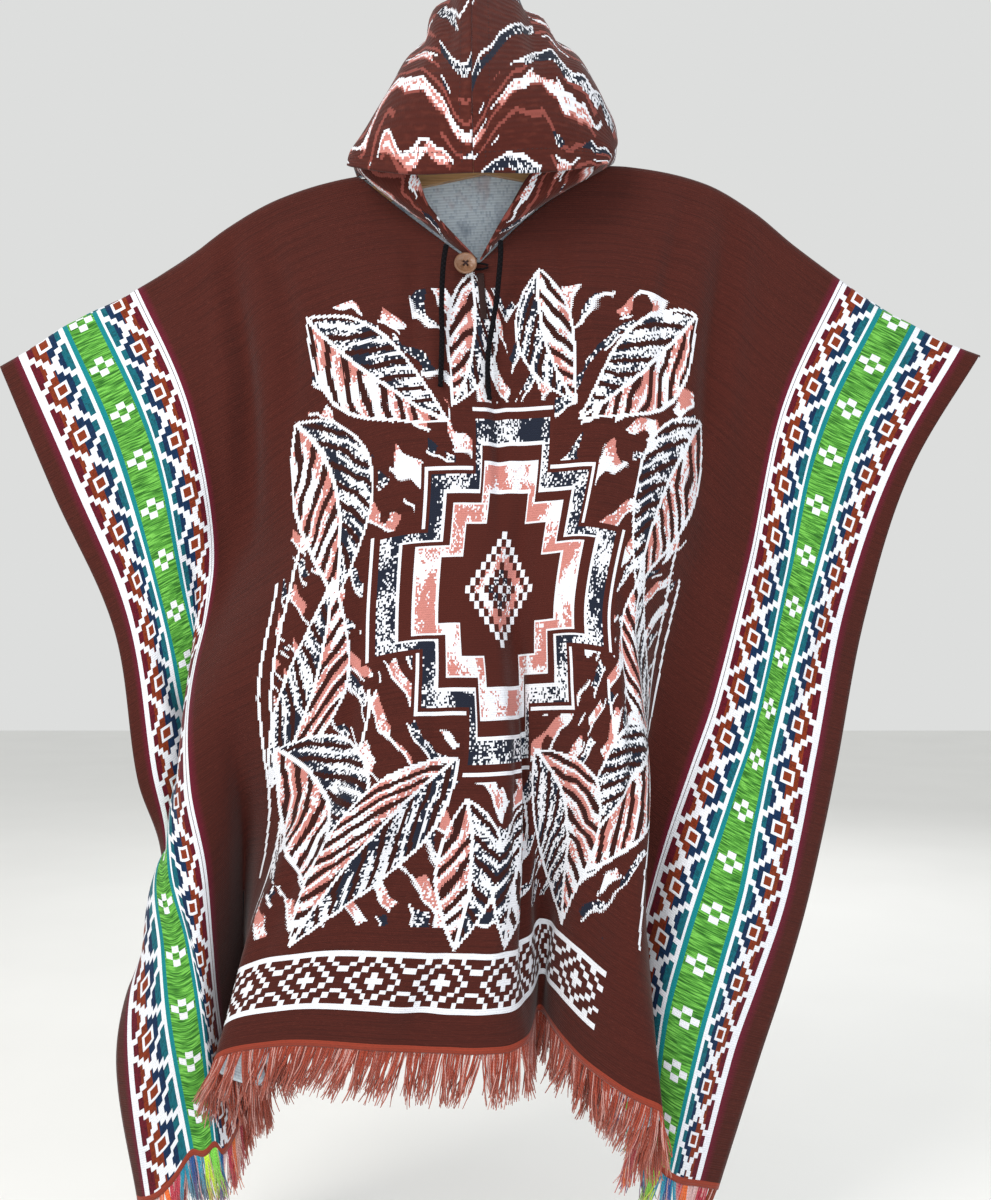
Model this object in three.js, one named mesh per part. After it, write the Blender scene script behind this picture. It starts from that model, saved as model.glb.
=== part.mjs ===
// Hooded Andean poncho on its hanger. Millimetres, +Z up, the front faces -Y.
// The origin is the crown of the hanger's hook, inside the peak of the hood.
import * as THREE from 'three';

// ---- Driving dimensions -------------------------------------------------------------------

const CLOTH = 2.0;            // thickness of the double-woven cloth
const SEAM_GAP = 0.3;         // clearance between pieces that are sewn together
const LENGTH = 940;           // woven length from the shoulder fold to the hem
const FRINGE = 50;            // free warp ends below the hem
const HEM_GAP = 1.5;          // clearance between the hem and the solid of the fringe
const FRINGE_THICKNESS = 1.6;
const SHOULDER_ROLL = 9;      // radius of the fold where the cloth turns over the hanger
const COLUMN = 26;            // widest step across the cloth
const FRONT_ROWS = 15;
const BACK_ROWS = 11;

// The neck is a V cut in the front, bowed on its left, and a shallow scoop in the back.
const NECK = { left: -142, point: -22, right: 126, depth: 122, scoop: 12, ease: 4.4,
  bow: { left: 1.5, right: 1.05 } };

// Distances down from the shoulder fold at which the tables below give the cloth's place.
const STATIONS = [0, 160, 320, 480, 560, 640, 720, 800, LENGTH];

// Fold lines of the front, a row for each: `cut` is its place across the woven width, `ridge` its
// height at the shoulder fold, `x` and `y` its place at each station. Negative y is forwards.
const FRONT_LINES = [
  { name: 'left selvedge', cut: -560, ridge: -419,
    x: [-518, -452, -386, -363, -343, -341, -374, -382, -359], y: [0, -15, -20, -15, 2, 5, -12, -25, -28] },
  { name: 'left outer white line', cut: -534, ridge: -407,
    x: [-497, -429, -368, -346, -334, -347, -366, -364, -346],
    y: [0, -18, -24, -18, -8, -4, -26, -38, -38] },
  { name: 'left outer diamonds', cut: -507, ridge: -392,
    x: [-473, -407, -351, -329, -320, -349, -348, -341, -322],
    y: [0, -20, -27, -14, 0, -24, -42, -48, -46] },
  { name: 'left green strip, outer side', cut: -480, ridge: -376,
    x: [-449, -382, -337, -312, -308, -334, -327, -319, -296], y: [0, -22, -27, 2, 8, -46, -54, -56, -50] },
  { name: 'left green strip, inner side', cut: -451, ridge: -361,
    x: [-417, -348, -314, -296, -322, -318, -299, -287, -275],
    y: [0, -24, -24, 10, -24, -62, -63, -60, -48] },
  { name: 'left inner diamonds', cut: -425, ridge: -350,
    x: [-394, -326, -299, -312, -314, -297, -287, -278, -267],
    y: [0, -25, -16, -20, -48, -68, -65, -54, -38] },
  { name: 'left inner white line', cut: -397, ridge: -337,
    x: [-372, -306, -286, -301, -297, -282, -277, -273, -259],
    y: [0, -24, -6, -46, -62, -64, -53, -38, -20] },
  { name: 'left valley, near side', cut: -367, ridge: -320,
    x: [-343, -286, -268, -276, -270, -264, -265, -265, -250], y: [0, -20, 2, -60, -56, -40, -24, -8, 4] },
  { name: 'left valley', cut: -337, ridge: -303,
    x: [-316, -262, -248, -250, -250, -250, -254, -256, -236], y: [0, -16, -6, -68, -47, -14, 6, 19, 22] },
  { name: 'left valley, far side', cut: -283, ridge: -270,
    x: [-272, -222, -202, -204, -206, -212, -229, -244, -234],
    y: [0, -22, -30, -72, -65, -50, -40, -32, -34] },
  { name: 'left lobe, side', cut: -226, ridge: -240,
    x: [-219, -172, -150, -155, -156, -165, -193, -226, -268],
    y: [0, -32, -46, -70, -75, -78, -80, -82, -84] },
  { name: 'left lobe', cut: -150, ridge: -218,
    x: [-146, -106, -86, -92, -93, -100, -124, -155, -205],
    y: [0, -38, -56, -66, -79, -92, -100, -104, -100] },
  { name: 'left lobe, middle', cut: -75, ridge: -210,
    x: [-68, -36, -22, -32, -31, -34, -53, -78, -120], y: [0, -38, -56, -66, -77, -88, -96, -102, -104] },
  { name: 'centre', cut: 0, ridge: -205,
    x: [11, 18, 26, 14, 21, 26, 15, -2, -35], y: [0, -34, -46, -68, -71, -74, -84, -94, -98] },
  { name: 'centre fold, crest', cut: 40, ridge: -204,
    x: [50, 46, 50, 36, 38, 40, 38, 32, 12], y: [0, -34, -46, -48, -45, -46, -62, -80, -92] },
  { name: 'centre fold, side', cut: 80, ridge: -204,
    x: [92, 80, 78, 58, 57, 56, 50, 44, 46], y: [0, -37, -52, -60, -52, -42, -37, -38, -70] },
  { name: 'centre fold, valley', cut: 150, ridge: -206,
    x: [167, 140, 130, 100, 102, 104, 87, 68, 62], y: [0, -38, -56, -74, -80, -76, -49, -20, -6] },
  { name: 'right lobe', cut: 226, ridge: -223,
    x: [243, 200, 184, 148, 149, 150, 132, 110, 88], y: [0, -32, -44, -72, -83, -88, -80, -68, -52] },
  { name: 'right lobe, side', cut: 283, ridge: -253,
    x: [295, 244, 220, 172, 170, 172, 166, 156, 130], y: [0, -22, -26, -50, -51, -54, -76, -98, -94] },
  { name: 'right lobe, crest', cut: 337, ridge: -289,
    x: [339, 284, 250, 198, 181, 170, 170, 174, 182], y: [0, -14, -8, -8, -5, -10, -35, -66, -112] },
  { name: 'right inner white line', cut: 397, ridge: -327,
    x: [391, 323, 290, 252, 225, 198, 176, 160, 154], y: [0, -12, -8, -4, -9, -16, -17, -22, -60] },
  { name: 'right inner diamonds', cut: 425, ridge: -342,
    x: [412, 341, 308, 271, 244, 217, 194, 176, 160], y: [0, -16, -18, -16, -25, -34, -36, -38, -48] },
  { name: 'right green strip, inner side', cut: 451, ridge: -357,
    x: [433, 361, 325, 290, 264, 237, 212, 192, 176], y: [0, -18, -24, -26, -33, -42, -48, -52, -58] },
  { name: 'right green strip, outer side', cut: 480, ridge: -375,
    x: [469, 394, 347, 306, 289, 272, 249, 226, 193], y: [0, -18, -30, -36, -41, -46, -52, -58, -68] },
  { name: 'right outer diamonds', cut: 507, ridge: -389,
    x: [494, 415, 364, 328, 312, 294, 269, 244, 208], y: [0, -17, -28, -36, -39, -42, -46, -50, -60] },
  { name: 'right outer white line', cut: 534, ridge: -399,
    x: [518, 437, 383, 350, 335, 317, 291, 263, 225], y: [0, -14, -22, -30, -31, -32, -34, -38, -48] },
  { name: 'right selvedge', cut: 560, ridge: -407,
    x: [540, 457, 408, 377, 361, 343, 320, 294, 249], y: [0, -10, -15, -20, -20, -20, -22, -25, -35] },
];

// The back hangs against the wall in shallower folds; it shares the front's shoulder fold.
const BACK_LINES = [
  { name: 'left selvedge', cut: -560, x: [-518, -455, -392, -352, -338, -328, -322, -324, -338],
    y: [0, 18, 26, 32, 34, 36, 39, 42, 48] },
  { name: 'left band', cut: -480, x: [-449, -392, -336, -306, -298, -294, -294, -302, -320],
    y: [0, 22, 34, 44, 50, 56, 60, 64, 70] },
  { name: 'left valley', cut: -397, x: [-372, -318, -272, -248, -242, -242, -250, -264, -290],
    y: [0, 26, 36, 36, 35, 34, 37, 42, 50] },
  { name: 'left fold', cut: -300, x: [-286, -240, -206, -190, -188, -190, -200, -214, -238],
    y: [0, 26, 40, 50, 56, 62, 67, 72, 78] },
  { name: 'left middle', cut: -190, x: [-184, -150, -128, -118, -117, -118, -124, -132, -146],
    y: [0, 28, 36, 38, 38, 38, 40, 42, 46] },
  { name: 'centre fold', cut: -60, x: [-52, -34, -28, -30, -33, -36, -39, -42, -46],
    y: [0, 30, 40, 50, 55, 60, 65, 70, 78] },
  { name: 'right middle', cut: 80, x: [92, 80, 70, 60, 53, 46, 40, 34, 24],
    y: [0, 28, 36, 38, 38, 38, 39, 40, 44] },
  { name: 'right fold', cut: 200, x: [217, 180, 160, 140, 128, 116, 106, 98, 86],
    y: [0, 26, 40, 52, 58, 64, 69, 74, 80] },
  { name: 'right valley', cut: 310, x: [317, 262, 226, 196, 180, 164, 149, 136, 118],
    y: [0, 26, 34, 34, 34, 34, 37, 40, 46] },
  { name: 'right band', cut: 420, x: [408, 336, 288, 252, 234, 216, 195, 176, 154],
    y: [0, 22, 34, 46, 52, 58, 62, 66, 70] },
  { name: 'right selvedge', cut: 560, x: [540, 455, 396, 356, 338, 318, 294, 270, 232],
    y: [0, 14, 22, 28, 30, 32, 35, 38, 44] },
];

// Arches of the hood, a row for each from the face opening (0) to the nape (1). Each runs from the
// neck seam over the lobe and the side to the crown, which the two sides share.
const HOOD_ARCHES = [
  { name: 'face opening', at: 0, crown: [-5, -118, -247],
    left: { flap: [-50, -60, -265], lapel: [-72, -68, -224],
      corner: [-136, -62, -221], side: [-72, -104, -244] },
    right: { flap: [29, -62, -268], lapel: [64, -68, -222],
      corner: [132, -62, -219], side: [66, -104, -242] } },
  { name: 'brim', at: 0.12, crown: [-6, -119, -206],
    left: { flap: [-80, -55, -250], lapel: [-102, -60, -216],
      corner: [-133, -52, -206], side: [-80, -98, -198] },
    right: { flap: [66, -55, -252], lapel: [96, -60, -214],
      corner: [138, -52, -202], side: [78, -98, -192] } },
  { name: 'front sheet', at: 0.27, crown: [-7, -104, -134],
    left: { flap: [-112, -42, -232], lapel: [-126, -42, -208],
      corner: [-121, -38, -182], side: [-76, -72, -134] },
    right: { flap: [106, -42, -230], lapel: [132, -42, -206],
      corner: [142, -38, -180], side: [98, -66, -126] } },
  { name: 'peak', at: 0.46, crown: [-8, -6, 29],
    left: { flap: [-134, -8, -200], lapel: [-124, -9, -176],
      corner: [-97, -10, -142], side: [-60, -10, -68] },
    right: { flap: [144, -8, -197], lapel: [143, -9, -172],
      corner: [130, -10, -138], side: [78, -10, -66] } },
  { name: 'back of the peak', at: 0.64, crown: [-7, 26, -44],
    left: { flap: [-120, 20, -196], lapel: [-108, 21, -174],
      corner: [-88, 23, -144], side: [-54, 26, -92] },
    right: { flap: [118, 20, -193], lapel: [110, 21, -170], corner: [92, 23, -140], side: [56, 26, -90] } },
  { name: 'back', at: 0.82, crown: [-4, 36, -128],
    left: { flap: [-74, 34, -200], lapel: [-64, 35, -184], corner: [-50, 37, -168], side: [-30, 38, -146] },
    right: { flap: [72, 34, -198], lapel: [64, 35, -182], corner: [50, 37, -166], side: [28, 38, -144] } },
  { name: 'nape', at: 0.97, crown: [-1, 40, -202],
    left: { flap: [-13, 40, -206], lapel: [-10, 40, -205], corner: [-7, 40, -204], side: [-4, 40, -203] },
    right: { flap: [11, 40, -206], lapel: [8, 40, -205], corner: [5, 40, -204], side: [2, 40, -203] } },
];
const HOOD_STEPS = { along: 14, across: 9 };

const BUTTON = { radius: 12.2, rim: 2.6, thickness: 3.6, dish: 1.0, cut: -42, down: 126, lift: 7.0 };
const THREAD = { width: 1.2, reach: 4.4, height: 1.0, shank: 1.3 };
const LOOP = { radius: 1.1, lift: 4.2, half: 3.0, from: 9, to: -24 };
const PLACKET = { width: 10, length: 50, thickness: 0.9, top: 134 };

// Free ends of the drawcord, from the eyelet at the neck down the front.
const CORD_RADIUS = 3;
const CORD_LEFT = [
  [-34, -64, -304], [-36, -66, -316], [-37.5, -64, -330], [-38.5, -61, -345], [-39, -60, -360],
  [-39, -60.5, -375], [-38.5, -61.5, -390], [-38.5, -62.5, -405], [-39, -63.5, -420],
  [-39.5, -64.5, -435], [-40, -65.5, -450],
];
const CORD_RIGHT = [
  [22, -64, -300], [22, -66, -313], [21, -64, -328], [19.5, -61, -343], [18, -58.5, -358],
  [15.5, -57, -373], [13, -57, -388], [10.5, -58, -403], [9, -59.5, -418], [8.5, -61, -433],
  [9, -62, -448], [10.5, -63, -463],
];

const HANGER = { thickness: 7, height: 24, under: 12 };
const HANGER_LINE = [
  { x: -252, z: -266 }, { x: -200, z: -236 }, { x: -140, z: -224 }, { x: -70, z: -190 },
  { x: 5, z: -174 }, { x: 80, z: -188 }, { x: 150, z: -216 }, { x: 214, z: -224 }, { x: 268, z: -246 },
];
const HOOK = { radius: 2, bend: 17, foot: 5 };

// ---- Small mathematics --------------------------------------------------------------------

const lerp = (a, b, f) => a + (b - a) * f;

/** Smooth curve through the values at the knots, with no overshoot past flat neighbours. */
function smooth(knots, values, at) {
  let i = 0;
  while (i < knots.length - 2 && at > knots[i + 1]) i += 1;
  const slope = (k) => {
    const before = Math.max(0, k - 1);
    const after = Math.min(knots.length - 1, k + 1);
    return (values[after] - values[before]) / (knots[after] - knots[before]);
  };
  const span = knots[i + 1] - knots[i];
  const f = Math.min(1, Math.max(0, (at - knots[i]) / span));
  const f2 = f * f;
  const f3 = f2 * f;
  return (2 * f3 - 3 * f2 + 1) * values[i] + (f3 - 2 * f2 + f) * span * slope(i)
    + (3 * f2 - 2 * f3) * values[i + 1] + (f3 - f2) * span * slope(i + 1);
}

const FRONT_CUTS = FRONT_LINES.map((line) => line.cut);
const RIDGES = FRONT_LINES.map((line) => line.ridge);

/** Height of the shoulder fold at a place across the cloth. */
const ridgeAt = (cut) => smooth(FRONT_CUTS, RIDGES, cut);

/** Place of the cloth sideways and in depth, from a table of fold lines. */
function planAt(lines, facing, cut, down) {
  const cuts = lines.map((line) => line.cut);
  const x = smooth(cuts, lines.map((line) => smooth(STATIONS, line.x, down)), cut);
  const y = smooth(cuts, lines.map((line) => smooth(STATIONS, line.y, down)), cut);
  const roll = Math.sin(Math.min(down / SHOULDER_ROLL, Math.PI / 2));
  return [x, y + facing * SHOULDER_ROLL * roll];
}

/**
 * One line of warp: points at the given distances down from the shoulder fold. The warp doesn't
 * stretch, so what it doesn't spend sideways and in depth it spends downwards.
 */
function warpLine(lines, facing, cut, downs) {
  const step = 4;
  const points = [];
  let height = ridgeAt(cut);
  let last = planAt(lines, facing, cut, 0);
  let walked = 0;
  for (const down of downs) {
    while (walked < down) {
      const next = Math.min(walked + step, down);
      const place = planAt(lines, facing, cut, next);
      const aside = Math.hypot(place[0] - last[0], place[1] - last[1]);
      height -= Math.sqrt(Math.max(0, (next - walked) ** 2 - aside ** 2));
      last = place;
      walked = next;
    }
    points.push(new THREE.Vector3(last[0], last[1], height));
  }
  return points;
}

// ---- Cloth walls --------------------------------------------------------------------------

/** Outward direction at each point of a grid; `edgeFix` may correct it on chosen points. */
function gridNormals(grid, side, edgeFix) {
  const last = grid.length - 1;
  return grid.map((column, i) => column.map((point, j) => {
    const end = column.length - 1;
    const next = grid[Math.min(i + 1, last)][j];
    const across = new THREE.Vector3().subVectors(next, grid[Math.max(i - 1, 0)][j]);
    const along = new THREE.Vector3().subVectors(column[Math.min(j + 1, end)], column[Math.max(j - 1, 0)]);
    const normal = new THREE.Vector3().crossVectors(across, along).multiplyScalar(side);
    if (edgeFix) edgeFix(normal, i, j);
    return normal.normalize();
  }));
}

/** A closed wall: the grid moved out by `outer` and by `inner`, joined round its border. */
function wallGeometry(grid, side, outer, inner, edgeFix) {
  const normals = gridNormals(grid, side, edgeFix);
  const columns = grid.length;
  const rows = grid[0].length;
  const positions = [];
  for (const offset of [outer, inner]) {
    for (let i = 0; i < columns; i += 1) {
      for (let j = 0; j < rows; j += 1) {
        const p = grid[i][j].clone().addScaledVector(normals[i][j], offset);
        positions.push(p.x, p.y, p.z);
      }
    }
  }
  const index = [];
  const at = (layer, i, j) => layer * columns * rows + i * rows + j;
  const quad = (a, b, c, d) => {
    if (side > 0) index.push(a, b, c, a, c, d);
    else index.push(a, c, b, a, d, c);
  };
  for (let i = 0; i + 1 < columns; i += 1) {
    for (let j = 0; j + 1 < rows; j += 1) {
      quad(at(0, i, j), at(0, i + 1, j), at(0, i + 1, j + 1), at(0, i, j + 1));
      quad(at(1, i, j), at(1, i, j + 1), at(1, i + 1, j + 1), at(1, i + 1, j));
    }
    quad(at(0, i + 1, 0), at(0, i, 0), at(1, i, 0), at(1, i + 1, 0));
    quad(at(0, i, rows - 1), at(0, i + 1, rows - 1), at(1, i + 1, rows - 1), at(1, i, rows - 1));
  }
  for (let j = 0; j + 1 < rows; j += 1) {
    quad(at(0, 0, j), at(0, 0, j + 1), at(1, 0, j + 1), at(1, 0, j));
    quad(at(0, columns - 1, j + 1), at(0, columns - 1, j), at(1, columns - 1, j), at(1, columns - 1, j + 1));
  }
  const geometry = new THREE.BufferGeometry();
  geometry.setAttribute('position', new THREE.Float32BufferAttribute(positions, 3));
  geometry.setIndex(index);
  geometry.computeVertexNormals();
  return geometry;
}

/** Places across the cloth: every fold line, with even steps between. */
function columnCuts(cuts, widest) {
  const places = [cuts[0]];
  for (let i = 1; i < cuts.length; i += 1) {
    const steps = Math.ceil((cuts[i] - cuts[i - 1]) / widest);
    for (let k = 1; k <= steps; k += 1) places.push(lerp(cuts[i - 1], cuts[i], k / steps));
  }
  return places;
}

/** How far below the shoulder fold the neck is cut away. */
function neckCut(cut, depth) {
  if (cut <= NECK.left || cut >= NECK.right) return 0;
  const side = cut < NECK.point ? 'left' : 'right';
  const share = (cut - NECK.point) / (NECK[side] - NECK.point);
  return depth * (1 - share ** NECK.bow[side]);
}

/** Grid of one half of the body, from the shoulder fold or the neck's edge to the hem. */
function bodyGrid(lines, facing, neckDepth, places, rows) {
  return places.map((cut) => {
    const top = Math.max(SEAM_GAP / 2, neckCut(cut, neckDepth));
    const downs = [];
    for (let j = 0; j <= rows; j += 1) {
      downs.push(lerp(top, LENGTH, (j / rows) ** 1.15));
    }
    return warpLine(lines, facing, cut, downs);
  });
}

/** Columns of one half: its fold lines and the neck's corners and point. */
function halfPlaces(cuts, widest) {
  const places = [...columnCuts(cuts, widest), NECK.left, NECK.point, NECK.right];
  places.sort((a, b) => a - b);
  return places.filter((cut, i) => i === 0 || cut - places[i - 1] > 1);
}

const FRONT_PLACES = halfPlaces(FRONT_CUTS, COLUMN);
const BACK_PLACES = halfPlaces(BACK_LINES.map((line) => line.cut), 1.6 * COLUMN);

/** At the shoulder fold the cloth lies level from front to back, so its end there is upright. */
const levelAtFold = (places) => (normal, i, j) => {
  const outside = places[i] <= NECK.left || places[i] >= NECK.right;
  if (j === 0 && outside) normal.y = 0;
};

// ---- Pieces -------------------------------------------------------------------------------

const poncho = new THREE.Group();

const finishes = {
  cloth: new THREE.MeshStandardMaterial({ color: 0x4b2018, roughness: 0.95, metalness: 0 }),
  hood: new THREE.MeshStandardMaterial({ color: 0x54251c, roughness: 0.95, metalness: 0 }),
  fringe: new THREE.MeshStandardMaterial({ color: 0xa3442f, roughness: 0.95, metalness: 0 }),
  placket: new THREE.MeshStandardMaterial({ color: 0x2a100c, roughness: 0.9, metalness: 0 }),
  cord: new THREE.MeshStandardMaterial({ color: 0x121014, roughness: 0.85, metalness: 0 }),
  button: new THREE.MeshStandardMaterial({ color: 0xa58062, roughness: 0.4, metalness: 0 }),
  wood: new THREE.MeshStandardMaterial({ color: 0xb98a58, roughness: 0.5, metalness: 0 }),
  wire: new THREE.MeshStandardMaterial({ color: 0xb8b8b8, roughness: 0.3, metalness: 1 }),
};

/** Adds a named piece; each has a material of its own. */
function add(name, geometry, finish) {
  const mesh = new THREE.Mesh(geometry, finishes[finish].clone());
  mesh.name = name;
  poncho.add(mesh);
  return mesh;
}

/** A round tube along points, with a step every `step` mm. */
function tube(points, radius, sides, step) {
  const path = new THREE.CatmullRomCurve3(points.map((p) => new THREE.Vector3(...p)));
  const section = new THREE.Shape();
  for (let k = 0; k < sides; k += 1) {
    const angle = (2 * Math.PI * k) / sides;
    const place = [radius * Math.cos(angle), radius * Math.sin(angle)];
    if (k === 0) section.moveTo(...place);
    else section.lineTo(...place);
  }
  section.closePath();
  const steps = Math.max(2, Math.round(path.getLength() / step));
  return new THREE.ExtrudeGeometry(section, { steps, extrudePath: path, bevelEnabled: false });
}

/** One half of the body, and the fringe that carries on where its warp leaves the hem. */
function addHalf(half, lines, facing, neckDepth, places, rows) {
  const grid = bodyGrid(lines, facing, neckDepth, places, rows);
  const level = levelAtFold(places);
  add(`body_${half}`, wallGeometry(grid, facing, CLOTH / 2, -CLOTH / 2, level), 'cloth');

  const hemNormals = gridNormals(grid, facing, level).map((column) => column[rows]);
  const fringe = grid.map((column) => {
    const fall = new THREE.Vector3().subVectors(column[rows], column[rows - 1]).normalize();
    const top = column[rows].clone().addScaledVector(fall, HEM_GAP);
    return [top, top.clone().addScaledVector(fall, FRINGE)];
  });
  const asHem = (normal, i) => normal.copy(hemNormals[i]);
  const reach = FRINGE_THICKNESS / 2;
  add(`fringe_${half}`, wallGeometry(fringe, facing, reach, -reach, asHem), 'fringe');
}

function addBody() {
  addHalf('front', FRONT_LINES, -1, NECK.depth, FRONT_PLACES, FRONT_ROWS);
  addHalf('back', BACK_LINES, 1, NECK.scoop, BACK_PLACES, BACK_ROWS);
}

/** A point of the neck's edge; `at` runs from the front point (0) over the shoulder (0.5) to the nape (1). */
function neckEdge(at, hand) {
  const corner = hand < 0 ? NECK.left : NECK.right;
  const front = at <= 0.46;
  const share = front ? at / 0.46 : (at - 0.46) / (1 - 0.46);
  const cut = front ? lerp(NECK.point, corner, share) : lerp(corner, NECK.point, share);
  const depth = front ? NECK.depth : NECK.scoop;
  const down = Math.max(SEAM_GAP / 2, neckCut(cut, depth));
  const [point] = warpLine(front ? FRONT_LINES : BACK_LINES, front ? -1 : 1, cut, [down]);
  // The hood starts inside the opening: the edge is moved towards its middle, and up.
  const aside = Math.min(1, Math.abs(cut - NECK.point) / Math.abs(corner - NECK.point));
  const inward = new THREE.Vector3(-hand * aside * 0.9, 0, 1.15 - 0.55 * aside).normalize();
  point.x += hand * (CLOTH / 2 + SEAM_GAP) * (1 - aside);
  point.y += (front ? -1 : 1) * (1 - share) * share * 4;
  return point.addScaledVector(inward, NECK.ease);
}

/** Grid of one side of the hood: arches from the neck seam to just short of the crown. */
function hoodGrid(hand) {
  const knots = HOOD_ARCHES.map((arch) => arch.at);
  const key = hand < 0 ? 'left' : 'right';
  const spots = [0, 0.2, 0.38, 0.58, 0.8, 1];
  const grid = [];
  for (let i = 0; i <= HOOD_STEPS.along; i += 1) {
    const at = (0.97 * i) / HOOD_STEPS.along;
    const column = ['flap', 'lapel', 'corner', 'side'].map((spot) => [0, 1, 2].map(
      (axis) => smooth(knots, HOOD_ARCHES.map((arch) => arch[key][spot][axis]), at)));
    const crown = [0, 1, 2].map((axis) => smooth(knots, HOOD_ARCHES.map((arch) => arch.crown[axis]), at));
    crown[0] += hand * SEAM_GAP * 0.6;
    const places = [neckEdge(at, hand).toArray(), ...column, crown];
    const arch = [];
    for (let j = 0; j <= HOOD_STEPS.across; j += 1) {
      const f = j / HOOD_STEPS.across;
      arch.push(new THREE.Vector3(...[0, 1, 2].map((axis) => smooth(spots, places.map((p) => p[axis]), f))));
    }
    grid.push(arch);
  }
  return grid;
}

/** Along the crown the wall's edge stands upright between the two sides. */
const uprightAtCrown = (normal, i, j) => {
  if (j === HOOD_STEPS.across) normal.x = 0;
};

function addHood() {
  add('hood_left', wallGeometry(hoodGrid(-1), 1, CLOTH / 2, -CLOTH / 2, uprightAtCrown), 'hood');
  add('hood_right', wallGeometry(hoodGrid(1), -1, CLOTH / 2, -CLOTH / 2, uprightAtCrown), 'hood');
}

/** A frame on the front's surface: its point and its outward direction. */
function onFront(cut, down) {
  const step = 6;
  const [above, point, below] = warpLine(FRONT_LINES, -1, cut, [down - step, down, down + step]);
  const [beside] = warpLine(FRONT_LINES, -1, cut + step, [down]);
  const along = below.clone().sub(above);
  const across = beside.clone().sub(point);
  return { point, out: new THREE.Vector3().crossVectors(along, across).normalize() };
}

function addPlacket() {
  const columns = [-PLACKET.width / 2, 0, PLACKET.width / 2];
  const rows = 4;
  const grid = columns.map((aside) => {
    const downs = [];
    for (let j = 0; j <= rows; j += 1) downs.push(PLACKET.top + (PLACKET.length * j) / rows);
    return warpLine(FRONT_LINES, -1, NECK.point + aside, downs);
  });
  const foot = CLOTH / 2 + SEAM_GAP;
  add('neck_placket', wallGeometry(grid, -1, foot + PLACKET.thickness, foot), 'placket');
}

function addButton() {
  const { point, out } = onFront(BUTTON.cut, BUTTON.down);
  const middle = point.clone().addScaledVector(out, BUTTON.lift);
  const turn = new THREE.Quaternion().setFromUnitVectors(new THREE.Vector3(0, 1, 0), out);
  const { radius, rim, thickness, dish } = BUTTON;
  const profile = [
    [0, 0], [radius - 2.4, 0], [radius, 1.5],
    [radius, thickness - 0.9], [radius - 0.9, thickness], [radius - rim + 0.6, thickness],
    [radius - rim - 0.8, thickness - dish], [0, thickness - dish],
  ].map(([x, y]) => new THREE.Vector2(x, y));
  const button = add('button', new THREE.LatheGeometry(profile, 28), 'button');
  button.quaternion.copy(turn);
  button.position.copy(middle);

  // Crossed stitches on the button's face, and a shank under it that stops short of the cloth.
  const { width, reach, height } = THREAD;
  const cross = new THREE.Shape();
  const arm = width / 2;
  const corners = [
    [arm, arm], [arm, reach], [-arm, reach], [-arm, arm], [-reach, arm], [-reach, -arm],
    [-arm, -arm], [-arm, -reach], [arm, -reach], [arm, -arm], [reach, -arm], [reach, arm],
  ];
  corners.forEach(([x, y], k) => (k === 0 ? cross.moveTo(x, y) : cross.lineTo(x, y)));
  cross.closePath();
  const stitches = new THREE.ExtrudeGeometry(cross, { depth: height, bevelEnabled: false });
  stitches.rotateZ(Math.PI / 4);
  stitches.rotateX(-Math.PI / 2);
  const thread = add('button_thread', stitches, 'cord');
  thread.quaternion.copy(turn);
  thread.position.copy(middle).addScaledVector(out, thickness - dish + SEAM_GAP);
}

/** A U of cord from the right of the neck's point, round the button's shank and back. */
function addLoop() {
  const { point, out } = onFront(NECK.point, BUTTON.down + 1);
  const base = point.addScaledVector(out, LOOP.lift);
  const { half, from, to } = LOOP;
  const path = [
    [from, half * 0.4], [from - 8, half], [to + 10, half], [to + 3, half * 0.9], [to, 0],
    [to + 3, -half * 0.9], [to + 10, -half], [from - 8, -half], [from, -half * 0.4],
  ].map(([x, z]) => [base.x + x, base.y, base.z + z]);
  add('button_loop', tube(path, LOOP.radius, 8, 3.4), 'cord');
}

function addHanger() {
  const half = HANGER.height / 2;
  const top = HANGER_LINE.map(({ x, z }) => [x, z - HANGER.under]);
  const bottom = HANGER_LINE.map(({ x, z }, k) => {
    const taper = k === 0 || k === HANGER_LINE.length - 1 ? half : HANGER.height;
    return [x, z - HANGER.under - taper];
  }).reverse();
  const outline = new THREE.Shape();
  [...top, ...bottom].forEach(([x, z], k) => (k === 0 ? outline.moveTo(x, z) : outline.lineTo(x, z)));
  outline.closePath();
  const bar = new THREE.ExtrudeGeometry(outline, { depth: HANGER.thickness, bevelEnabled: false });
  bar.rotateX(Math.PI / 2);
  bar.translate(0, HANGER.thickness / 2, 0);
  add('hanger_bar', bar, 'wood');

  const { radius, bend, foot } = HOOK;
  const footHeight = HANGER_LINE[4].z - HANGER.under + SEAM_GAP;
  const path = [
    [foot, 0, footHeight], [foot, 0, footHeight + 50], [3, 0, -2 * bend - 34], [0, 0, -2 * bend - 12],
  ];
  const centre = -bend - radius;
  for (let degrees = -60; degrees <= 190; degrees += 25) {
    const angle = THREE.MathUtils.degToRad(degrees);
    path.push([bend * Math.cos(angle), 0, centre + bend * Math.sin(angle)]);
  }
  add('hanger_hook', tube(path, radius, 8, 9), 'wire');
}

addBody();
addHood();
addPlacket();
addButton();
addLoop();
add('drawcord_left', tube(CORD_LEFT, CORD_RADIUS, 8, 9), 'cord');
add('drawcord_right', tube(CORD_RIGHT, CORD_RADIUS, 8, 9), 'cord');
addHanger();

export default poncho;
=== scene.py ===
"""Hooded Andean poncho hung on a wooden hanger: the cloth, the sewing and the finishes.

The cloth is one double-woven width, folded over the shoulders. Tables below are in millimetres, in
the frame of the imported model: +Z up, the front towards -Y, the origin at the crown of the hook.
"""

import logging
import math
from dataclasses import dataclass, field
from enum import Enum
from typing import NamedTuple, Optional, Sequence

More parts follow.
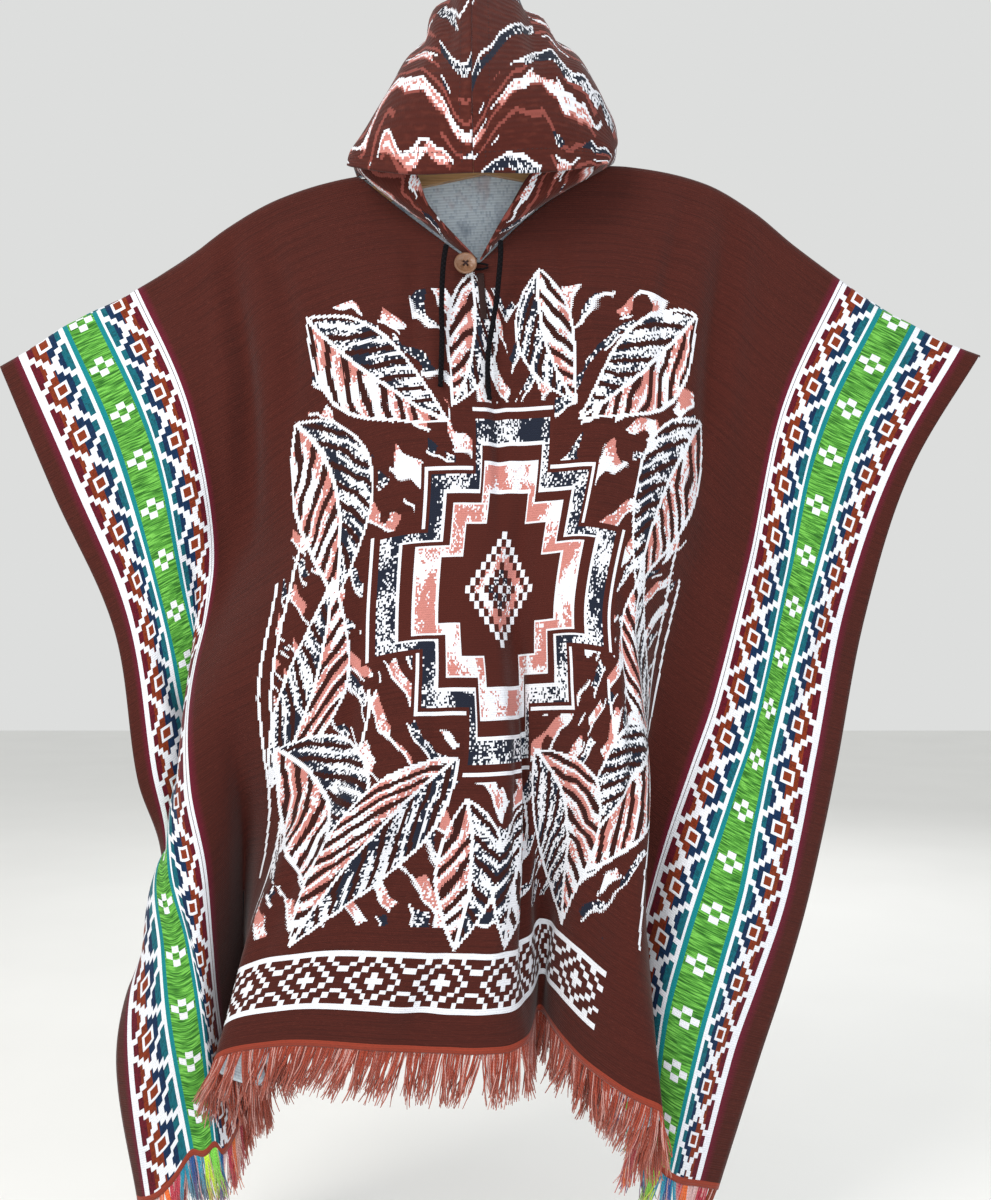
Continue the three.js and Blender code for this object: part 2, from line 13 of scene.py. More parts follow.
import bpy
import numpy as np
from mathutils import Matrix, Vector

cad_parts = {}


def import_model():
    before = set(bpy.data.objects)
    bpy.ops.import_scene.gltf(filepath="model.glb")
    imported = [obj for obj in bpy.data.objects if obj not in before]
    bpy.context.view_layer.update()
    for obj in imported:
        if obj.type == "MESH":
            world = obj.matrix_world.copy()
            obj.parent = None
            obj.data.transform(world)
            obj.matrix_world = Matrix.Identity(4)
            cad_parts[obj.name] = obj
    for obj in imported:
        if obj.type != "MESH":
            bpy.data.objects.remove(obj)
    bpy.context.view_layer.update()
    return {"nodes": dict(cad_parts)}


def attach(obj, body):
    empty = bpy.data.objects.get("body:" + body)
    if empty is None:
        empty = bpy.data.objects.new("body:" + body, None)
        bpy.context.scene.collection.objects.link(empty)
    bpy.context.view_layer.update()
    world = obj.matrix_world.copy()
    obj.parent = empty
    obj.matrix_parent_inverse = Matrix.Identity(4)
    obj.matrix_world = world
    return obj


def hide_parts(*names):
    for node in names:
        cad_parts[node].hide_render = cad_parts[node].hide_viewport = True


LOG = logging.getLogger("poncho")
MM = 0.001
SEED = 11

# ---- Sizes of the cloth ------------------------------------------------------------------------

CLOTH = 1.8               # thickness of the double weave
HALF_WIDTH = 560.0        # centre of the cloth to a selvedge
LENGTH = 940.0            # shoulder fold to hem
ROLL = 9.0                # radius of the fold over the hanger
HEM_STRIP = 7.0           # last rows of weft, in the fringe's own yarn
STATIONS = (0, 160, 320, 480, 560, 640, 720, 800, 940)


class Half(Enum):
    """The two halves of the cloth, and the way each one faces along Y."""

    FRONT = -1
    BACK = 1


class Hand(Enum):
    """The two sides of the hood, as the viewer sees them."""

    LEFT = -1
    RIGHT = 1


class FoldLine(NamedTuple):
    """A line of warp: its place across the width, then its place in plan at each station."""

    name: str
    cut: float
    x: Sequence[float]
    y: Sequence[float]
    ridge: float = 0.0


class HoodArch(NamedTuple):
    """An arch of the hood. Each side has its flap, lapel, corner and side points."""

    name: str
    at: float
    crown: Sequence[float]
    left: Sequence[Sequence[float]]
    right: Sequence[Sequence[float]]


class Crease(NamedTuple):
    """A soft trough pressed in the cloth: from one place (cut, down) to another."""

    name: str
    start: tuple[float, float]
    end: tuple[float, float]
    width: float
    depth: float
    bow: float = 0.0


FRONT_LINES = (
    FoldLine("left selvedge", -560,
             (-518, -452, -386, -363, -343, -341, -374, -382, -359),
             (0, -15, -20, -15, 2, 5, -12, -25, -28), ridge=-419),
    FoldLine("left outer white line", -534,
             (-497, -429, -368, -346, -334, -347, -366, -364, -346),
             (0, -18, -24, -18, -8, -4, -26, -38, -38), ridge=-407),
    FoldLine("left outer diamonds", -507,
             (-473, -407, -351, -329, -320, -349, -348, -341, -322),
             (0, -20, -27, -14, 0, -24, -42, -48, -46), ridge=-392),
    FoldLine("left green strip, outer side", -480,
             (-449, -382, -337, -312, -308, -334, -327, -319, -296),
             (0, -22, -27, 2, 8, -46, -54, -56, -50), ridge=-376),
    FoldLine("left green strip, inner side", -451,
             (-417, -348, -314, -296, -322, -318, -299, -287, -275),
             (0, -24, -24, 10, -24, -62, -63, -60, -48), ridge=-361),
    FoldLine("left inner diamonds", -425,
             (-394, -326, -299, -312, -314, -297, -287, -278, -267),
             (0, -25, -16, -20, -48, -68, -65, -54, -38), ridge=-350),
    FoldLine("left inner white line", -397,
             (-372, -306, -286, -301, -297, -282, -277, -273, -259),
             (0, -24, -6, -46, -62, -64, -53, -38, -20), ridge=-337),
    FoldLine("left valley, near side", -367,
             (-343, -286, -268, -276, -270, -264, -265, -265, -250),
             (0, -20, 2, -60, -56, -40, -24, -8, 4), ridge=-320),
    FoldLine("left valley", -337,
             (-316, -262, -248, -250, -250, -250, -254, -256, -236),
             (0, -16, -6, -68, -47, -14, 6, 19, 22), ridge=-303),
    FoldLine("left valley, far side", -283,
             (-272, -222, -202, -204, -206, -212, -229, -244, -234),
             (0, -22, -30, -72, -65, -50, -40, -32, -34), ridge=-270),
    FoldLine("left lobe, side", -226,
             (-219, -172, -150, -155, -156, -165, -193, -226, -268),
             (0, -32, -46, -70, -75, -78, -80, -82, -84), ridge=-240),
    FoldLine("left lobe", -150,
             (-146, -106, -86, -92, -93, -100, -124, -155, -205),
             (0, -38, -56, -66, -79, -92, -100, -104, -100), ridge=-218),
    FoldLine("left lobe, middle", -75,
             (-68, -36, -22, -32, -31, -34, -53, -78, -120),
             (0, -38, -56, -66, -77, -88, -96, -102, -104), ridge=-210),
    FoldLine("centre", 0,
             (11, 18, 26, 14, 21, 26, 15, -2, -35),
             (0, -34, -46, -68, -71, -74, -84, -94, -98), ridge=-205),
    FoldLine("centre fold, crest", 40,
             (50, 46, 50, 36, 38, 40, 38, 32, 12),
             (0, -34, -46, -48, -45, -46, -62, -80, -92), ridge=-204),
    FoldLine("centre fold, side", 80,
             (92, 80, 78, 58, 57, 56, 50, 44, 46),
             (0, -37, -52, -60, -52, -42, -37, -38, -70), ridge=-204),
    FoldLine("centre fold, valley", 150,
             (167, 140, 130, 100, 102, 104, 87, 68, 62),
             (0, -38, -56, -74, -80, -76, -49, -20, -6), ridge=-206),
    FoldLine("right lobe", 226,
             (243, 200, 184, 148, 149, 150, 132, 110, 88),
             (0, -32, -44, -72, -83, -88, -80, -68, -52), ridge=-223),
    FoldLine("right lobe, side", 283,
             (295, 244, 220, 172, 170, 172, 166, 156, 130),
             (0, -22, -26, -50, -51, -54, -76, -98, -94), ridge=-253),
    FoldLine("right lobe, crest", 337,
             (339, 284, 250, 198, 181, 170, 170, 174, 182),
             (0, -14, -8, -8, -5, -10, -35, -66, -112), ridge=-289),
    FoldLine("right inner white line", 397,
             (391, 323, 290, 252, 225, 198, 176, 160, 154),
             (0, -12, -8, -4, -9, -16, -17, -22, -60), ridge=-327),
    FoldLine("right inner diamonds", 425,
             (412, 341, 308, 271, 244, 217, 194, 176, 160),
             (0, -16, -18, -16, -25, -34, -36, -38, -48), ridge=-342),
    FoldLine("right green strip, inner side", 451,
             (433, 361, 325, 290, 264, 237, 212, 192, 176),
             (0, -18, -24, -26, -33, -42, -48, -52, -58), ridge=-357),
    FoldLine("right green strip, outer side", 480,
             (469, 394, 347, 306, 289, 272, 249, 226, 193),
             (0, -18, -30, -36, -41, -46, -52, -58, -68), ridge=-375),
    FoldLine("right outer diamonds", 507,
             (494, 415, 364, 328, 312, 294, 269, 244, 208),
             (0, -17, -28, -36, -39, -42, -46, -50, -60), ridge=-389),
    FoldLine("right outer white line", 534,
             (518, 437, 383, 350, 335, 317, 291, 263, 225),
             (0, -14, -22, -30, -31, -32, -34, -38, -48), ridge=-399),
    FoldLine("right selvedge", 560,
             (540, 457, 408, 377, 361, 343, 320, 294, 249),
             (0, -10, -15, -20, -20, -20, -22, -25, -35), ridge=-407),
)

# The back hangs in shallower folds; it shares the front's shoulder fold.
BACK_LINES = (
    FoldLine("left selvedge", -560,
             (-518, -455, -392, -352, -338, -328, -322, -324, -338),
             (0, 18, 26, 32, 34, 36, 39, 42, 48)),
    FoldLine("left band", -480,
             (-449, -392, -336, -306, -298, -294, -294, -302, -320),
             (0, 22, 34, 44, 50, 56, 60, 64, 70)),
    FoldLine("left valley", -397,
             (-372, -318, -272, -248, -242, -242, -250, -264, -290),
             (0, 26, 36, 36, 35, 34, 37, 42, 50)),
    FoldLine("left fold", -300,
             (-286, -240, -206, -190, -188, -190, -200, -214, -238),
             (0, 26, 40, 50, 56, 62, 67, 72, 78)),
    FoldLine("left middle", -190,
             (-184, -150, -128, -118, -117, -118, -124, -132, -146),
             (0, 28, 36, 38, 38, 38, 40, 42, 46)),
    FoldLine("centre fold", -60,
             (-52, -34, -28, -30, -33, -36, -39, -42, -46),
             (0, 30, 40, 50, 55, 60, 65, 70, 78)),
    FoldLine("right middle", 80,
             (92, 80, 70, 60, 53, 46, 40, 34, 24),
             (0, 28, 36, 38, 38, 38, 39, 40, 44)),
    FoldLine("right fold", 200,
             (217, 180, 160, 140, 128, 116, 106, 98, 86),
             (0, 26, 40, 52, 58, 64, 69, 74, 80)),
    FoldLine("right valley", 310,
             (317, 262, 226, 196, 180, 164, 149, 136, 118),
             (0, 26, 34, 34, 34, 34, 37, 40, 46)),
    FoldLine("right band", 420,
             (408, 336, 288, 252, 234, 216, 195, 176, 154),
             (0, 22, 34, 46, 52, 58, 62, 66, 70)),
    FoldLine("right selvedge", 560,
             (540, 455, 396, 356, 338, 318, 294, 270, 232),
             (0, 14, 22, 28, 30, 32, 35, 38, 44)),
)

HOOD_ARCHES = (
    HoodArch("face opening", 0, (-5, -118, -247),
             ((-50, -60, -265), (-72, -68, -224), (-136, -62, -221), (-72, -104, -244)),
             ((29, -62, -268), (64, -68, -222), (132, -62, -219), (66, -104, -242))),
    HoodArch("brim", 0.12, (-6, -119, -206),
             ((-80, -55, -250), (-102, -60, -216), (-133, -52, -206), (-80, -98, -198)),
             ((66, -55, -252), (96, -60, -214), (138, -52, -202), (78, -98, -192))),
    HoodArch("front sheet", 0.27, (-7, -104, -134),
             ((-112, -42, -232), (-126, -42, -208), (-121, -38, -182), (-76, -72, -134)),
             ((106, -42, -230), (132, -42, -206), (142, -38, -180), (98, -66, -126))),
    HoodArch("peak", 0.46, (-8, -6, 29),
             ((-134, -8, -200), (-124, -9, -176), (-97, -10, -142), (-60, -10, -68)),
             ((144, -8, -197), (143, -9, -172), (130, -10, -138), (78, -10, -66))),
    HoodArch("back of the peak", 0.64, (-7, 26, -44),
             ((-120, 20, -196), (-108, 21, -174), (-88, 23, -144), (-54, 26, -92)),
             ((118, 20, -193), (110, 21, -170), (92, 23, -140), (56, 26, -90))),
    HoodArch("back", 0.82, (-4, 36, -128),
             ((-74, 34, -200), (-64, 35, -184), (-50, 37, -168), (-30, 38, -146)),
             ((72, 34, -198), (64, 35, -182), (50, 37, -166), (28, 38, -144))),
    HoodArch("nape", 0.97, (-1, 40, -202),
             ((-13, 40, -206), (-10, 40, -205), (-7, 40, -204), (-4, 40, -203)),
             ((11, 40, -206), (8, 40, -205), (5, 40, -204), (2, 40, -203))),
)

FRONT_CREASES = (
    Crease("under the hanger's left end", (-286, 12), (-336, 350), 17, 10.2, 10),
    Crease("beside it", (-252, 30), (-268, 240), 12, 4.6, -8),
    Crease("under the hanger's right end", (258, 14), (306, 340), 17, 9.4, -8),
    Crease("right shoulder pull", (214, 24), (232, 260), 12, 4.3, 6),
    Crease("left sleeve drag", (-470, 60), (-392, 420), 15, 5.2, 16),
    Crease("left sleeve drag, low", (-520, 250), (-440, 540), 13, 4.9, 12),
    Crease("right sleeve drag", (480, 70), (392, 380), 15, 4.9, -14),
    Crease("right sleeve drag, low", (520, 300), (468, 640), 13, 4.3, -10),
    Crease("from the left of the neck", (-96, 90), (-128, 330), 12, 4.3, 6),
    Crease("from the right of the neck", (74, 90), (116, 300), 12, 4.6, -6),
    Crease("below the placket", (-18, 196), (6, 430), 11, 5.2, 4),
    Crease("pull from the button", (-44, 140), (-150, 210), 9, 2.6, 5),
    Crease("pull from the loop", (-6, 140), (84, 200), 9, 2.3, -5),
    Crease("left lobe", (-176, 420), (-196, 900), 16, 6.4, 14),
    Crease("left lobe, inner", (-92, 480), (-118, 840), 15, 5.2, -12),
    Crease("centre fold, low", (52, 520), (96, 930), 13, 8.7, 8),
    Crease("centre fold, crest", (24, 620), (44, 900), 10, 3.8, -5),
    Crease("right lobe", (214, 400), (236, 860), 15, 5.8, -10),
    Crease("right valley", (300, 560), (322, 780), 12, 7.2, 6),
    Crease("hem curl, left", (-300, 800), (-276, 935), 12, 4.6, 4),
    Crease("hem curl, middle", (-20, 830), (-40, 938), 13, 4.3, -4),
    Crease("hem curl, right", (178, 820), (160, 936), 13, 4.9, 6),
)

BACK_CREASES = (
    Crease("under the hanger's left end", (-278, 14), (-318, 360), 18, 6.0, 8),
    Crease("under the hanger's right end", (268, 14), (300, 330), 18, 5.5, -8),
    Crease("left blade", (-160, 60), (-176, 460), 16, 3.4, 10),
    Crease("right blade", (132, 70), (160, 430), 16, 3.2, -9),
    Crease("middle", (-12, 120), (8, 640), 15, 3.6, 7),
    Crease("left sleeve drag", (-480, 70), (-396, 470), 16, 3.6, 14),
    Crease("right sleeve drag", (474, 70), (398, 440), 16, 3.4, -12),
    Crease("left, low", (-210, 520), (-236, 910), 16, 4.0, 9),
    Crease("right, low", (226, 500), (214, 900), 16, 4.2, -10),
    Crease("middle, low", (40, 640), (70, 930), 15, 3.4, 6),
)

# On the hood: millimetres back from the face opening, and up from the neck seam.
HOOD_CREASES = {
    Hand.LEFT: (
        Crease("pleat at the brim", (36, 232), (150, 190), 12, 6.1, 6),
        Crease("second pleat", (40, 206), (132, 138), 12, 5.3, -5),
        Crease("fold of the front sheet", (104, 168), (196, 96), 13, 4.6, 8),
        Crease("side lobe", (150, 60), (262, 90), 15, 6.5, 7),
        Crease("below the peak", (176, 236), (224, 150), 15, 3.7, -6),
        Crease("back", (290, 150), (372, 70), 17, 3.4, 6),
    ),
    Hand.RIGHT: (
        Crease("pleat at the brim", (36, 232), (146, 196), 12, 5.7, -6),
        Crease("second pleat", (40, 204), (128, 128), 12, 4.9, 5),
        Crease("long pull to the corner", (96, 180), (190, 70), 14, 6.8, -9),
        Crease("side lobe", (158, 64), (258, 84), 15, 5.7, 6),
        Crease("below the peak", (180, 232), (232, 146), 15, 3.4, 7),
        Crease("back", (296, 146), (374, 74), 17, 3.4, -6),
    ),
}


@dataclass(frozen=True)
class Neck:
    """The neck: a V in the front, bowed on its left, and a shallow scoop in the back."""

    left: float = -142.0
    point: float = -22.0
    right: float = 126.0
    depth: float = 122.0
    scoop: float = 12.0
    ease: float = 4.4
    bow_left: float = 1.5
    bow_right: float = 1.05
    shoulder: float = 0.46    # share of the seam from the front point to the shoulder

    def cut_away(self, cut: np.ndarray, half: Half) -> np.ndarray:
        """How far below the shoulder fold the neck is cut away.

        Args:
            cut: places across the width.
            half: front or back.

        Returns:
            The depth at each place, 0 outside the neck.
        """
        left = cut < self.point
        reach = np.where(left, self.left - self.point, self.right - self.point)
        share = np.clip((cut - self.point) / reach, 0.0, 1.0)
        bow = np.where(left, self.bow_left, self.bow_right)
        depth = self.depth if half is Half.FRONT else self.scoop
        return depth * (1.0 - share ** bow)


NECK = Neck()

# ---- Shape of the hanging cloth ----------------------------------------------------------------


def smooth(knots: Sequence[float], values: np.ndarray, at: np.ndarray) -> np.ndarray:
    """Smooth curves through the values at the knots.

    Args:
        knots: rising places.
        values: one row for each curve, one column for each knot.
        at: where the curves are wanted.

    Returns:
        One row for each curve, one column for each wanted place.
    """
    knots = np.asarray(knots, float)
    values = np.atleast_2d(np.asarray(values, float))
    slopes = np.empty_like(values)
    slopes[:, 1:-1] = (values[:, 2:] - values[:, :-2]) / (knots[2:] - knots[:-2])
    slopes[:, 0] = (values[:, 1] - values[:, 0]) / (knots[1] - knots[0])
    slopes[:, -1] = (values[:, -1] - values[:, -2]) / (knots[-1] - knots[-2])
    i = np.clip(np.searchsorted(knots, at, side="left") - 1, 0, len(knots) - 2)
    span = knots[i + 1] - knots[i]
    f = np.clip((at - knots[i]) / span, 0.0, 1.0)
    f2, f3 = f * f, f * f * f
    return ((2 * f3 - 3 * f2 + 1) * values[:, i] + (f3 - 2 * f2 + f) * span * slopes[:, i]
            + (3 * f2 - 2 * f3) * values[:, i + 1] + (f3 - f2) * span * slopes[:, i + 1])


@dataclass
class HangingCloth:
    """One half of the cloth as it hangs; the warp doesn't stretch."""

    half: Half
    step: float = 2.0

    @property
    def lines(self) -> Sequence[FoldLine]:
        """The fold lines of this half."""
        return FRONT_LINES if self.half is Half.FRONT else BACK_LINES

    def points(self, cut: np.ndarray, down: np.ndarray) -> np.ndarray:
        """Points of the cloth.

        Args:
            cut: places across the width.
            down: for each of them, a row of distances down from the shoulder fold.

        Returns:
            An array of points, cut by down by three.
        """
        fine = np.arange(0.0, LENGTH + 80.0, self.step)
        roll = ROLL * np.sin(np.minimum(fine / ROLL, math.pi / 2)) * self.half.value
        cuts = [line.cut for line in self.lines]
        inside = np.minimum(fine, LENGTH)
        x = smooth(cuts, smooth(STATIONS, [line.x for line in self.lines], inside).T, cut).T
        y = smooth(cuts, smooth(STATIONS, [line.y for line in self.lines], inside).T, cut).T + roll
        ridge = smooth([line.cut for line in FRONT_LINES],
                       np.array([[line.ridge for line in FRONT_LINES]]), cut)[0]
        aside2 = np.diff(x, axis=1) ** 2 + np.diff(y, axis=1) ** 2
        drop = np.sqrt(np.maximum(0.0, self.step ** 2 - aside2))
        z = ridge[:, None] - np.concatenate([np.zeros((len(cut), 1)), np.cumsum(drop, axis=1)], axis=1)
        rows = [[np.interp(down[i], fine, axis[i]) for axis in (x, y, z)] for i in range(len(cut))]
        return np.transpose(np.array(rows), (0, 2, 1))

    def frame_at(self, cut: float, down: float) -> tuple[np.ndarray, np.ndarray]:
        """A point of the cloth and its outward direction there."""
        step = 6.0
        grid = self.points(np.array([cut, cut + step]), np.array([[down - step, down, down + step]] * 2))
        out = np.cross(grid[0, 2] - grid[0, 0], grid[1, 1] - grid[0, 1]) * -self.half.value
        return grid[0, 1], out / np.linalg.norm(out)


def relief(creases: Sequence[Crease], across: np.ndarray, along: np.ndarray) -> np.ndarray:
    """How far the creases press the cloth in, each with a soft ridge at its two sides.

    Args:
        creases: the creases placed on the cloth.
        across: first coordinate of each point.
        along: second coordinate of each point.

    Returns:
        The distance outwards; troughs are negative.
    """
    total = np.zeros_like(across)
    for crease in creases:
        a, b = np.array(crease.start, float), np.array(crease.end, float)
        run = float(np.linalg.norm(b - a))
        t = (b - a) / run
        u, v = across - a[0], along - a[1]
        p = (u * t[0] + v * t[1]) / run
        ends = np.sin(math.pi * np.clip(p, 0.0, 1.0)) ** 0.8
        width = crease.width * (0.75 + 0.5 * np.clip(p, 0.0, 1.0))
        q = (v * t[0] - u * t[1] - crease.bow * ends) / width
        trough = -np.exp(-q * q)
        ridges = 0.42 * np.exp(-((np.abs(q) - 1.7) ** 2))
        total += crease.depth * ends * (trough + ridges)
    return total


def unevenness(across: np.ndarray, along: np.ndarray) -> np.ndarray:
    """Slow, slight ups and downs of hand-woven cloth, in millimetres: a broad one and a finer one."""
    return (0.9 * np.sin(across / 41.0 + 0.7 * np.sin(along / 83.0))
            * np.sin(along / 97.0 + across / 160.0)
            + 0.5 * np.sin(across / 17.0 + along / 120.0) * np.sin(along / 61.0 - across / 90.0))


def directions(grid: np.ndarray, side: float) -> np.ndarray:
    """Outward direction at each point of a grid of points."""
    normal = np.cross(np.gradient(grid, axis=0), np.gradient(grid, axis=1)) * side
    return normal / np.maximum(np.linalg.norm(normal, axis=2, keepdims=True), 1e-9)


# ---- Meshes ------------------------------------------------------------------------------------


def make_piece(name: str, points: np.ndarray, faces: Sequence[Sequence[int]], weave: np.ndarray,
               finishes: Sequence[bpy.types.Material], slots: Optional[np.ndarray] = None,
               flat: Optional[np.ndarray] = None) -> bpy.types.Object:
    """Makes a mesh object whose points know their place in the cloth or yarn.

    Args:
        name: name of the piece.
        points: its points, in millimetres.
        faces: its faces, as point numbers.
        weave: three numbers for each point, kept as the attribute "weave".
        finishes: its materials.
        slots: the material of each face; the first one if left out.
        flat: which faces are shaded flat.

    Returns:
        The object, in the scene.
    """
    mesh = bpy.data.meshes.new(name)
    mesh.from_pydata((points * MM).tolist(), [], faces)
    mesh.polygons.foreach_set("use_smooth", np.ones(len(faces), bool) if flat is None else ~flat)
    if slots is not None:
        mesh.polygons.foreach_set("material_index", slots.astype(np.int32))
    place = mesh.attributes.new("weave", "FLOAT_VECTOR", "POINT")
    place.data.foreach_set("vector", weave.astype(np.float32).ravel())
    for finish in finishes:
        mesh.materials.append(finish)
    mesh.validate()
    mesh.update()
    piece = bpy.data.objects.new(name, mesh)
    bpy.context.scene.collection.objects.link(piece)
    return piece


def make_cloth(name: str, grid: np.ndarray, place: np.ndarray, normals: np.ndarray, side: int,
               finishes: Sequence[bpy.types.Material], thickness: float = CLOTH,
               lift: float = 0.0) -> bpy.types.Object:
    """Makes a closed sheet round a grid of points.

    Args:
        name: name of the piece.
        grid: middle of the cloth, columns by rows by three.
        place: cut coordinates of the same points, columns by rows by two.
        normals: outward directions of the same points.
        side: 1 or -1, which way the grid is wound.
        finishes: materials of the outer face, the reverse, and the edge.
        thickness: thickness of the cloth.
        lift: distance from the grid to the middle of the cloth.

    Returns:
        The object.
    """
    columns, rows = grid.shape[:2]
    layers = [grid + normals * (lift + offset) for offset in (thickness / 2, -thickness / 2)]
    points = np.concatenate([layer.reshape(-1, 3) for layer in layers])
    weave = np.concatenate([np.dstack([place, np.full((columns, rows), float(k))]).reshape(-1, 3)
                            for k in (0, 1)])
    number = np.arange(columns * rows).reshape(columns, rows)
    back = number + columns * rows

    def ring(a: np.ndarray, b: np.ndarray, c: np.ndarray, d: np.ndarray) -> np.ndarray:
        """Quads through four sets of corners, wound outwards."""
        quad = np.stack([x.ravel() for x in (a, b, c, d)], axis=1)
        return quad if side > 0 else quad[:, ::-1]

    outer = ring(number[:-1, :-1], number[1:, :-1], number[1:, 1:], number[:-1, 1:])
    inner = ring(back[:-1, :-1], back[:-1, 1:], back[1:, 1:], back[1:, :-1])
    edges = np.concatenate([
        ring(number[1:, 0], number[:-1, 0], back[:-1, 0], back[1:, 0]),
        ring(number[:-1, -1], number[1:, -1], back[1:, -1], back[:-1, -1]),
        ring(number[0, :-1], number[0, 1:], back[0, 1:], back[0, :-1]),
        ring(number[-1, 1:], number[-1, :-1], back[-1, :-1], back[-1, 1:]),
    ])
    faces = np.concatenate([outer, inner, edges])
    kinds = [len(outer), len(inner), len(edges)]
    slots = np.repeat([0, 1, 2], kinds)
    return make_piece(name, points, faces.tolist(), weave, finishes, slots, slots == 2)


def make_yarns(name: str, paths: np.ndarray, radii: np.ndarray, sides: int, aside: Sequence[float],
               finish: bpy.types.Material, marks: Optional[np.ndarray] = None,
               braid: float = 0.0, plait: float = 0.0) -> bpy.types.Object:
    """Makes round yarns or cords along paths, joined in one piece.

    Args:
        name: name of the piece.
        paths: yarns by points by three, all with as many points.
        radii: yarns by points.
        sides: sides of the round section.
        aside: a direction that no path runs along.
        finish: the material.
        marks: a number for each yarn, kept with its points; its random lot if left out.
        braid: depth of the braid's relief, as a share of the radius.
        plait: length of one plait of the braid.

    Returns:
        The object.
    """
    count, length = paths.shape[:2]
    tangent = np.gradient(paths, axis=1)
    tangent /= np.linalg.norm(tangent, axis=2, keepdims=True)
    first = np.cross(tangent, np.asarray(aside, float))
    first /= np.linalg.norm(first, axis=2, keepdims=True)
    second = np.cross(tangent, first)
    walk = np.concatenate([np.zeros((count, 1)),
                           np.cumsum(np.linalg.norm(np.diff(paths, axis=1), axis=2), axis=1)], axis=1)
    angle = 2 * math.pi * np.arange(sides) / sides
    width = np.repeat(radii[:, :, None], sides, axis=2)
    if braid:
        turns = 2 * math.pi * walk[:, :, None] / plait
        weave = np.abs(np.sin(turns + 3 * angle) * np.sin(turns - 3 * angle))
        width = width * (1.0 - braid * (1.0 - weave))
    around = (np.cos(angle)[None, None, :, None] * first[:, :, None, :]
              + np.sin(angle)[None, None, :, None] * second[:, :, None, :])
    points = (paths[:, :, None, :] + width[..., None] * around).reshape(-1, 3)
    mark = np.random.default_rng(SEED).random(count) if marks is None else marks
    place = np.stack(np.broadcast_arrays(angle[None, None, :], walk[:, :, None],
                                         mark[:, None, None]), axis=3).reshape(-1, 3)
    k = np.arange(sides)
    j = np.arange(length - 1)[:, None]
    ring = np.stack([j * sides + k, j * sides + (k + 1) % sides,
                     (j + 1) * sides + (k + 1) % sides, (j + 1) * sides + k], axis=2).reshape(-1, 4)
    faces: list[list[int]] = []
    for i in range(count):
        base = i * length * sides
        faces.extend((ring[:, ::-1] + base).tolist())
        faces.append((base + k).tolist())
        faces.append((base + (length - 1) * sides + k[::-1]).tolist())
    return make_piece(name, points, faces, place, [finish])


def declare(piece: bpy.types.Object, node: Optional[str] = None) -> None:
    """Fixes a piece to the one body, and hides the solid it replaces."""
    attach(piece, "root")
    if node is not None:
        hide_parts(node)


# ---- Finishes ----------------------------------------------------------------------------------


def linear(hex_colour: str) -> tuple[float, float, float, float]:
    """Turns an sRGB hex value such as "#4B2018" to linear RGBA."""
    parts = [int(hex_colour[i:i + 2], 16) / 255.0 for i in (1, 3, 5)]
    return (*(p / 12.92 if p <= 0.04045 else ((p + 0.055) / 1.055) ** 2.4 for p in parts), 1.0)


def add_node(tree: bpy.types.NodeTree, kind: str, settings: Optional[dict] = None,
             links: Optional[dict] = None) -> bpy.types.Node:
    """Adds a node.

    Args:
        tree: where it goes.
        kind: its Blender type.
        settings: its properties, by name.
        links: for each input, by name or number, the socket it is joined to or its value.

    Returns:
        The node.
    """
    made = tree.nodes.new(kind)
    for key, value in (settings or {}).items():
        setattr(made, key, value)
    for key, value in (links or {}).items():
        if isinstance(value, bpy.types.NodeSocket):
            tree.links.new(value, made.inputs[key])
        else:
            made.inputs[key].default_value = value
    return made


class Measure:
    """A number that varies over the surface, with arithmetic. Comparisons give 0 or 1."""

    def __init__(self, tree: bpy.types.NodeTree, socket: bpy.types.NodeSocket) -> None:
        """Keeps the socket that the number comes from."""
        self.tree = tree
        self.socket = socket

    def work(self, operation: str, *others: "Measure | float") -> "Measure":
        """Gives the result of one operation on this number and others."""
        values = [self.socket] + [o.socket if isinstance(o, Measure) else float(o) for o in others]
        made = add_node(self.tree, "ShaderNodeMath", {"operation": operation}, dict(enumerate(values)))
        return Measure(self.tree, made.outputs[0])

    def __add__(self, other: "Measure | float") -> "Measure":
        """Sum."""
        return self.work("ADD", other)

    def __sub__(self, other: "Measure | float") -> "Measure":
        """Difference."""
        return self.work("SUBTRACT", other)

    def __mul__(self, other: "Measure | float") -> "Measure":
        """Product; of two comparisons, where both hold."""
        return self.work("MULTIPLY", other)

    def __truediv__(self, other: "Measure | float") -> "Measure":
        """Quotient."""
        return self.work("DIVIDE", other)

    def __lt__(self, other: "Measure | float") -> "Measure":
        """1 where this is less."""
        return self.work("LESS_THAN", other)

    def __gt__(self, other: "Measure | float") -> "Measure":
        """1 where this is more."""
        return self.work("GREATER_THAN", other)

    def __abs__(self) -> "Measure":
        """Distance from zero."""
        return self.work("ABSOLUTE")

    def least(self, other: "Measure | float") -> "Measure":
        """The lesser of two."""
        return self.work("MINIMUM", other)

    def most(self, other: "Measure | float") -> "Measure":
        """The greater of two; of two comparisons, where either holds."""
        return self.work("MAXIMUM", other)

    def steps(self, size: float) -> "Measure":
        """The number of whole steps in it."""
        return (self / size).work("FLOOR")

    def repeat(self, size: float) -> "Measure":
        """Distance from the middle of the repeat that it falls in, for repeats of one size."""
        return self.work("WRAP", size, 0.0) - size / 2

    def between(self, low: "Measure | float", high: "Measure | float") -> "Measure":
        """1 from low to high."""
        return (self > low) * (self < high)

    def ramp(self, low: float, high: float) -> "Measure":
        """Rises evenly from 0 at low to 1 at high."""
        made = add_node(self.tree, "ShaderNodeMapRange", {"clamp": True},
                        {"Value": self.socket, "From Min": low, "From Max": high})
        return Measure(self.tree, made.outputs["Result"])


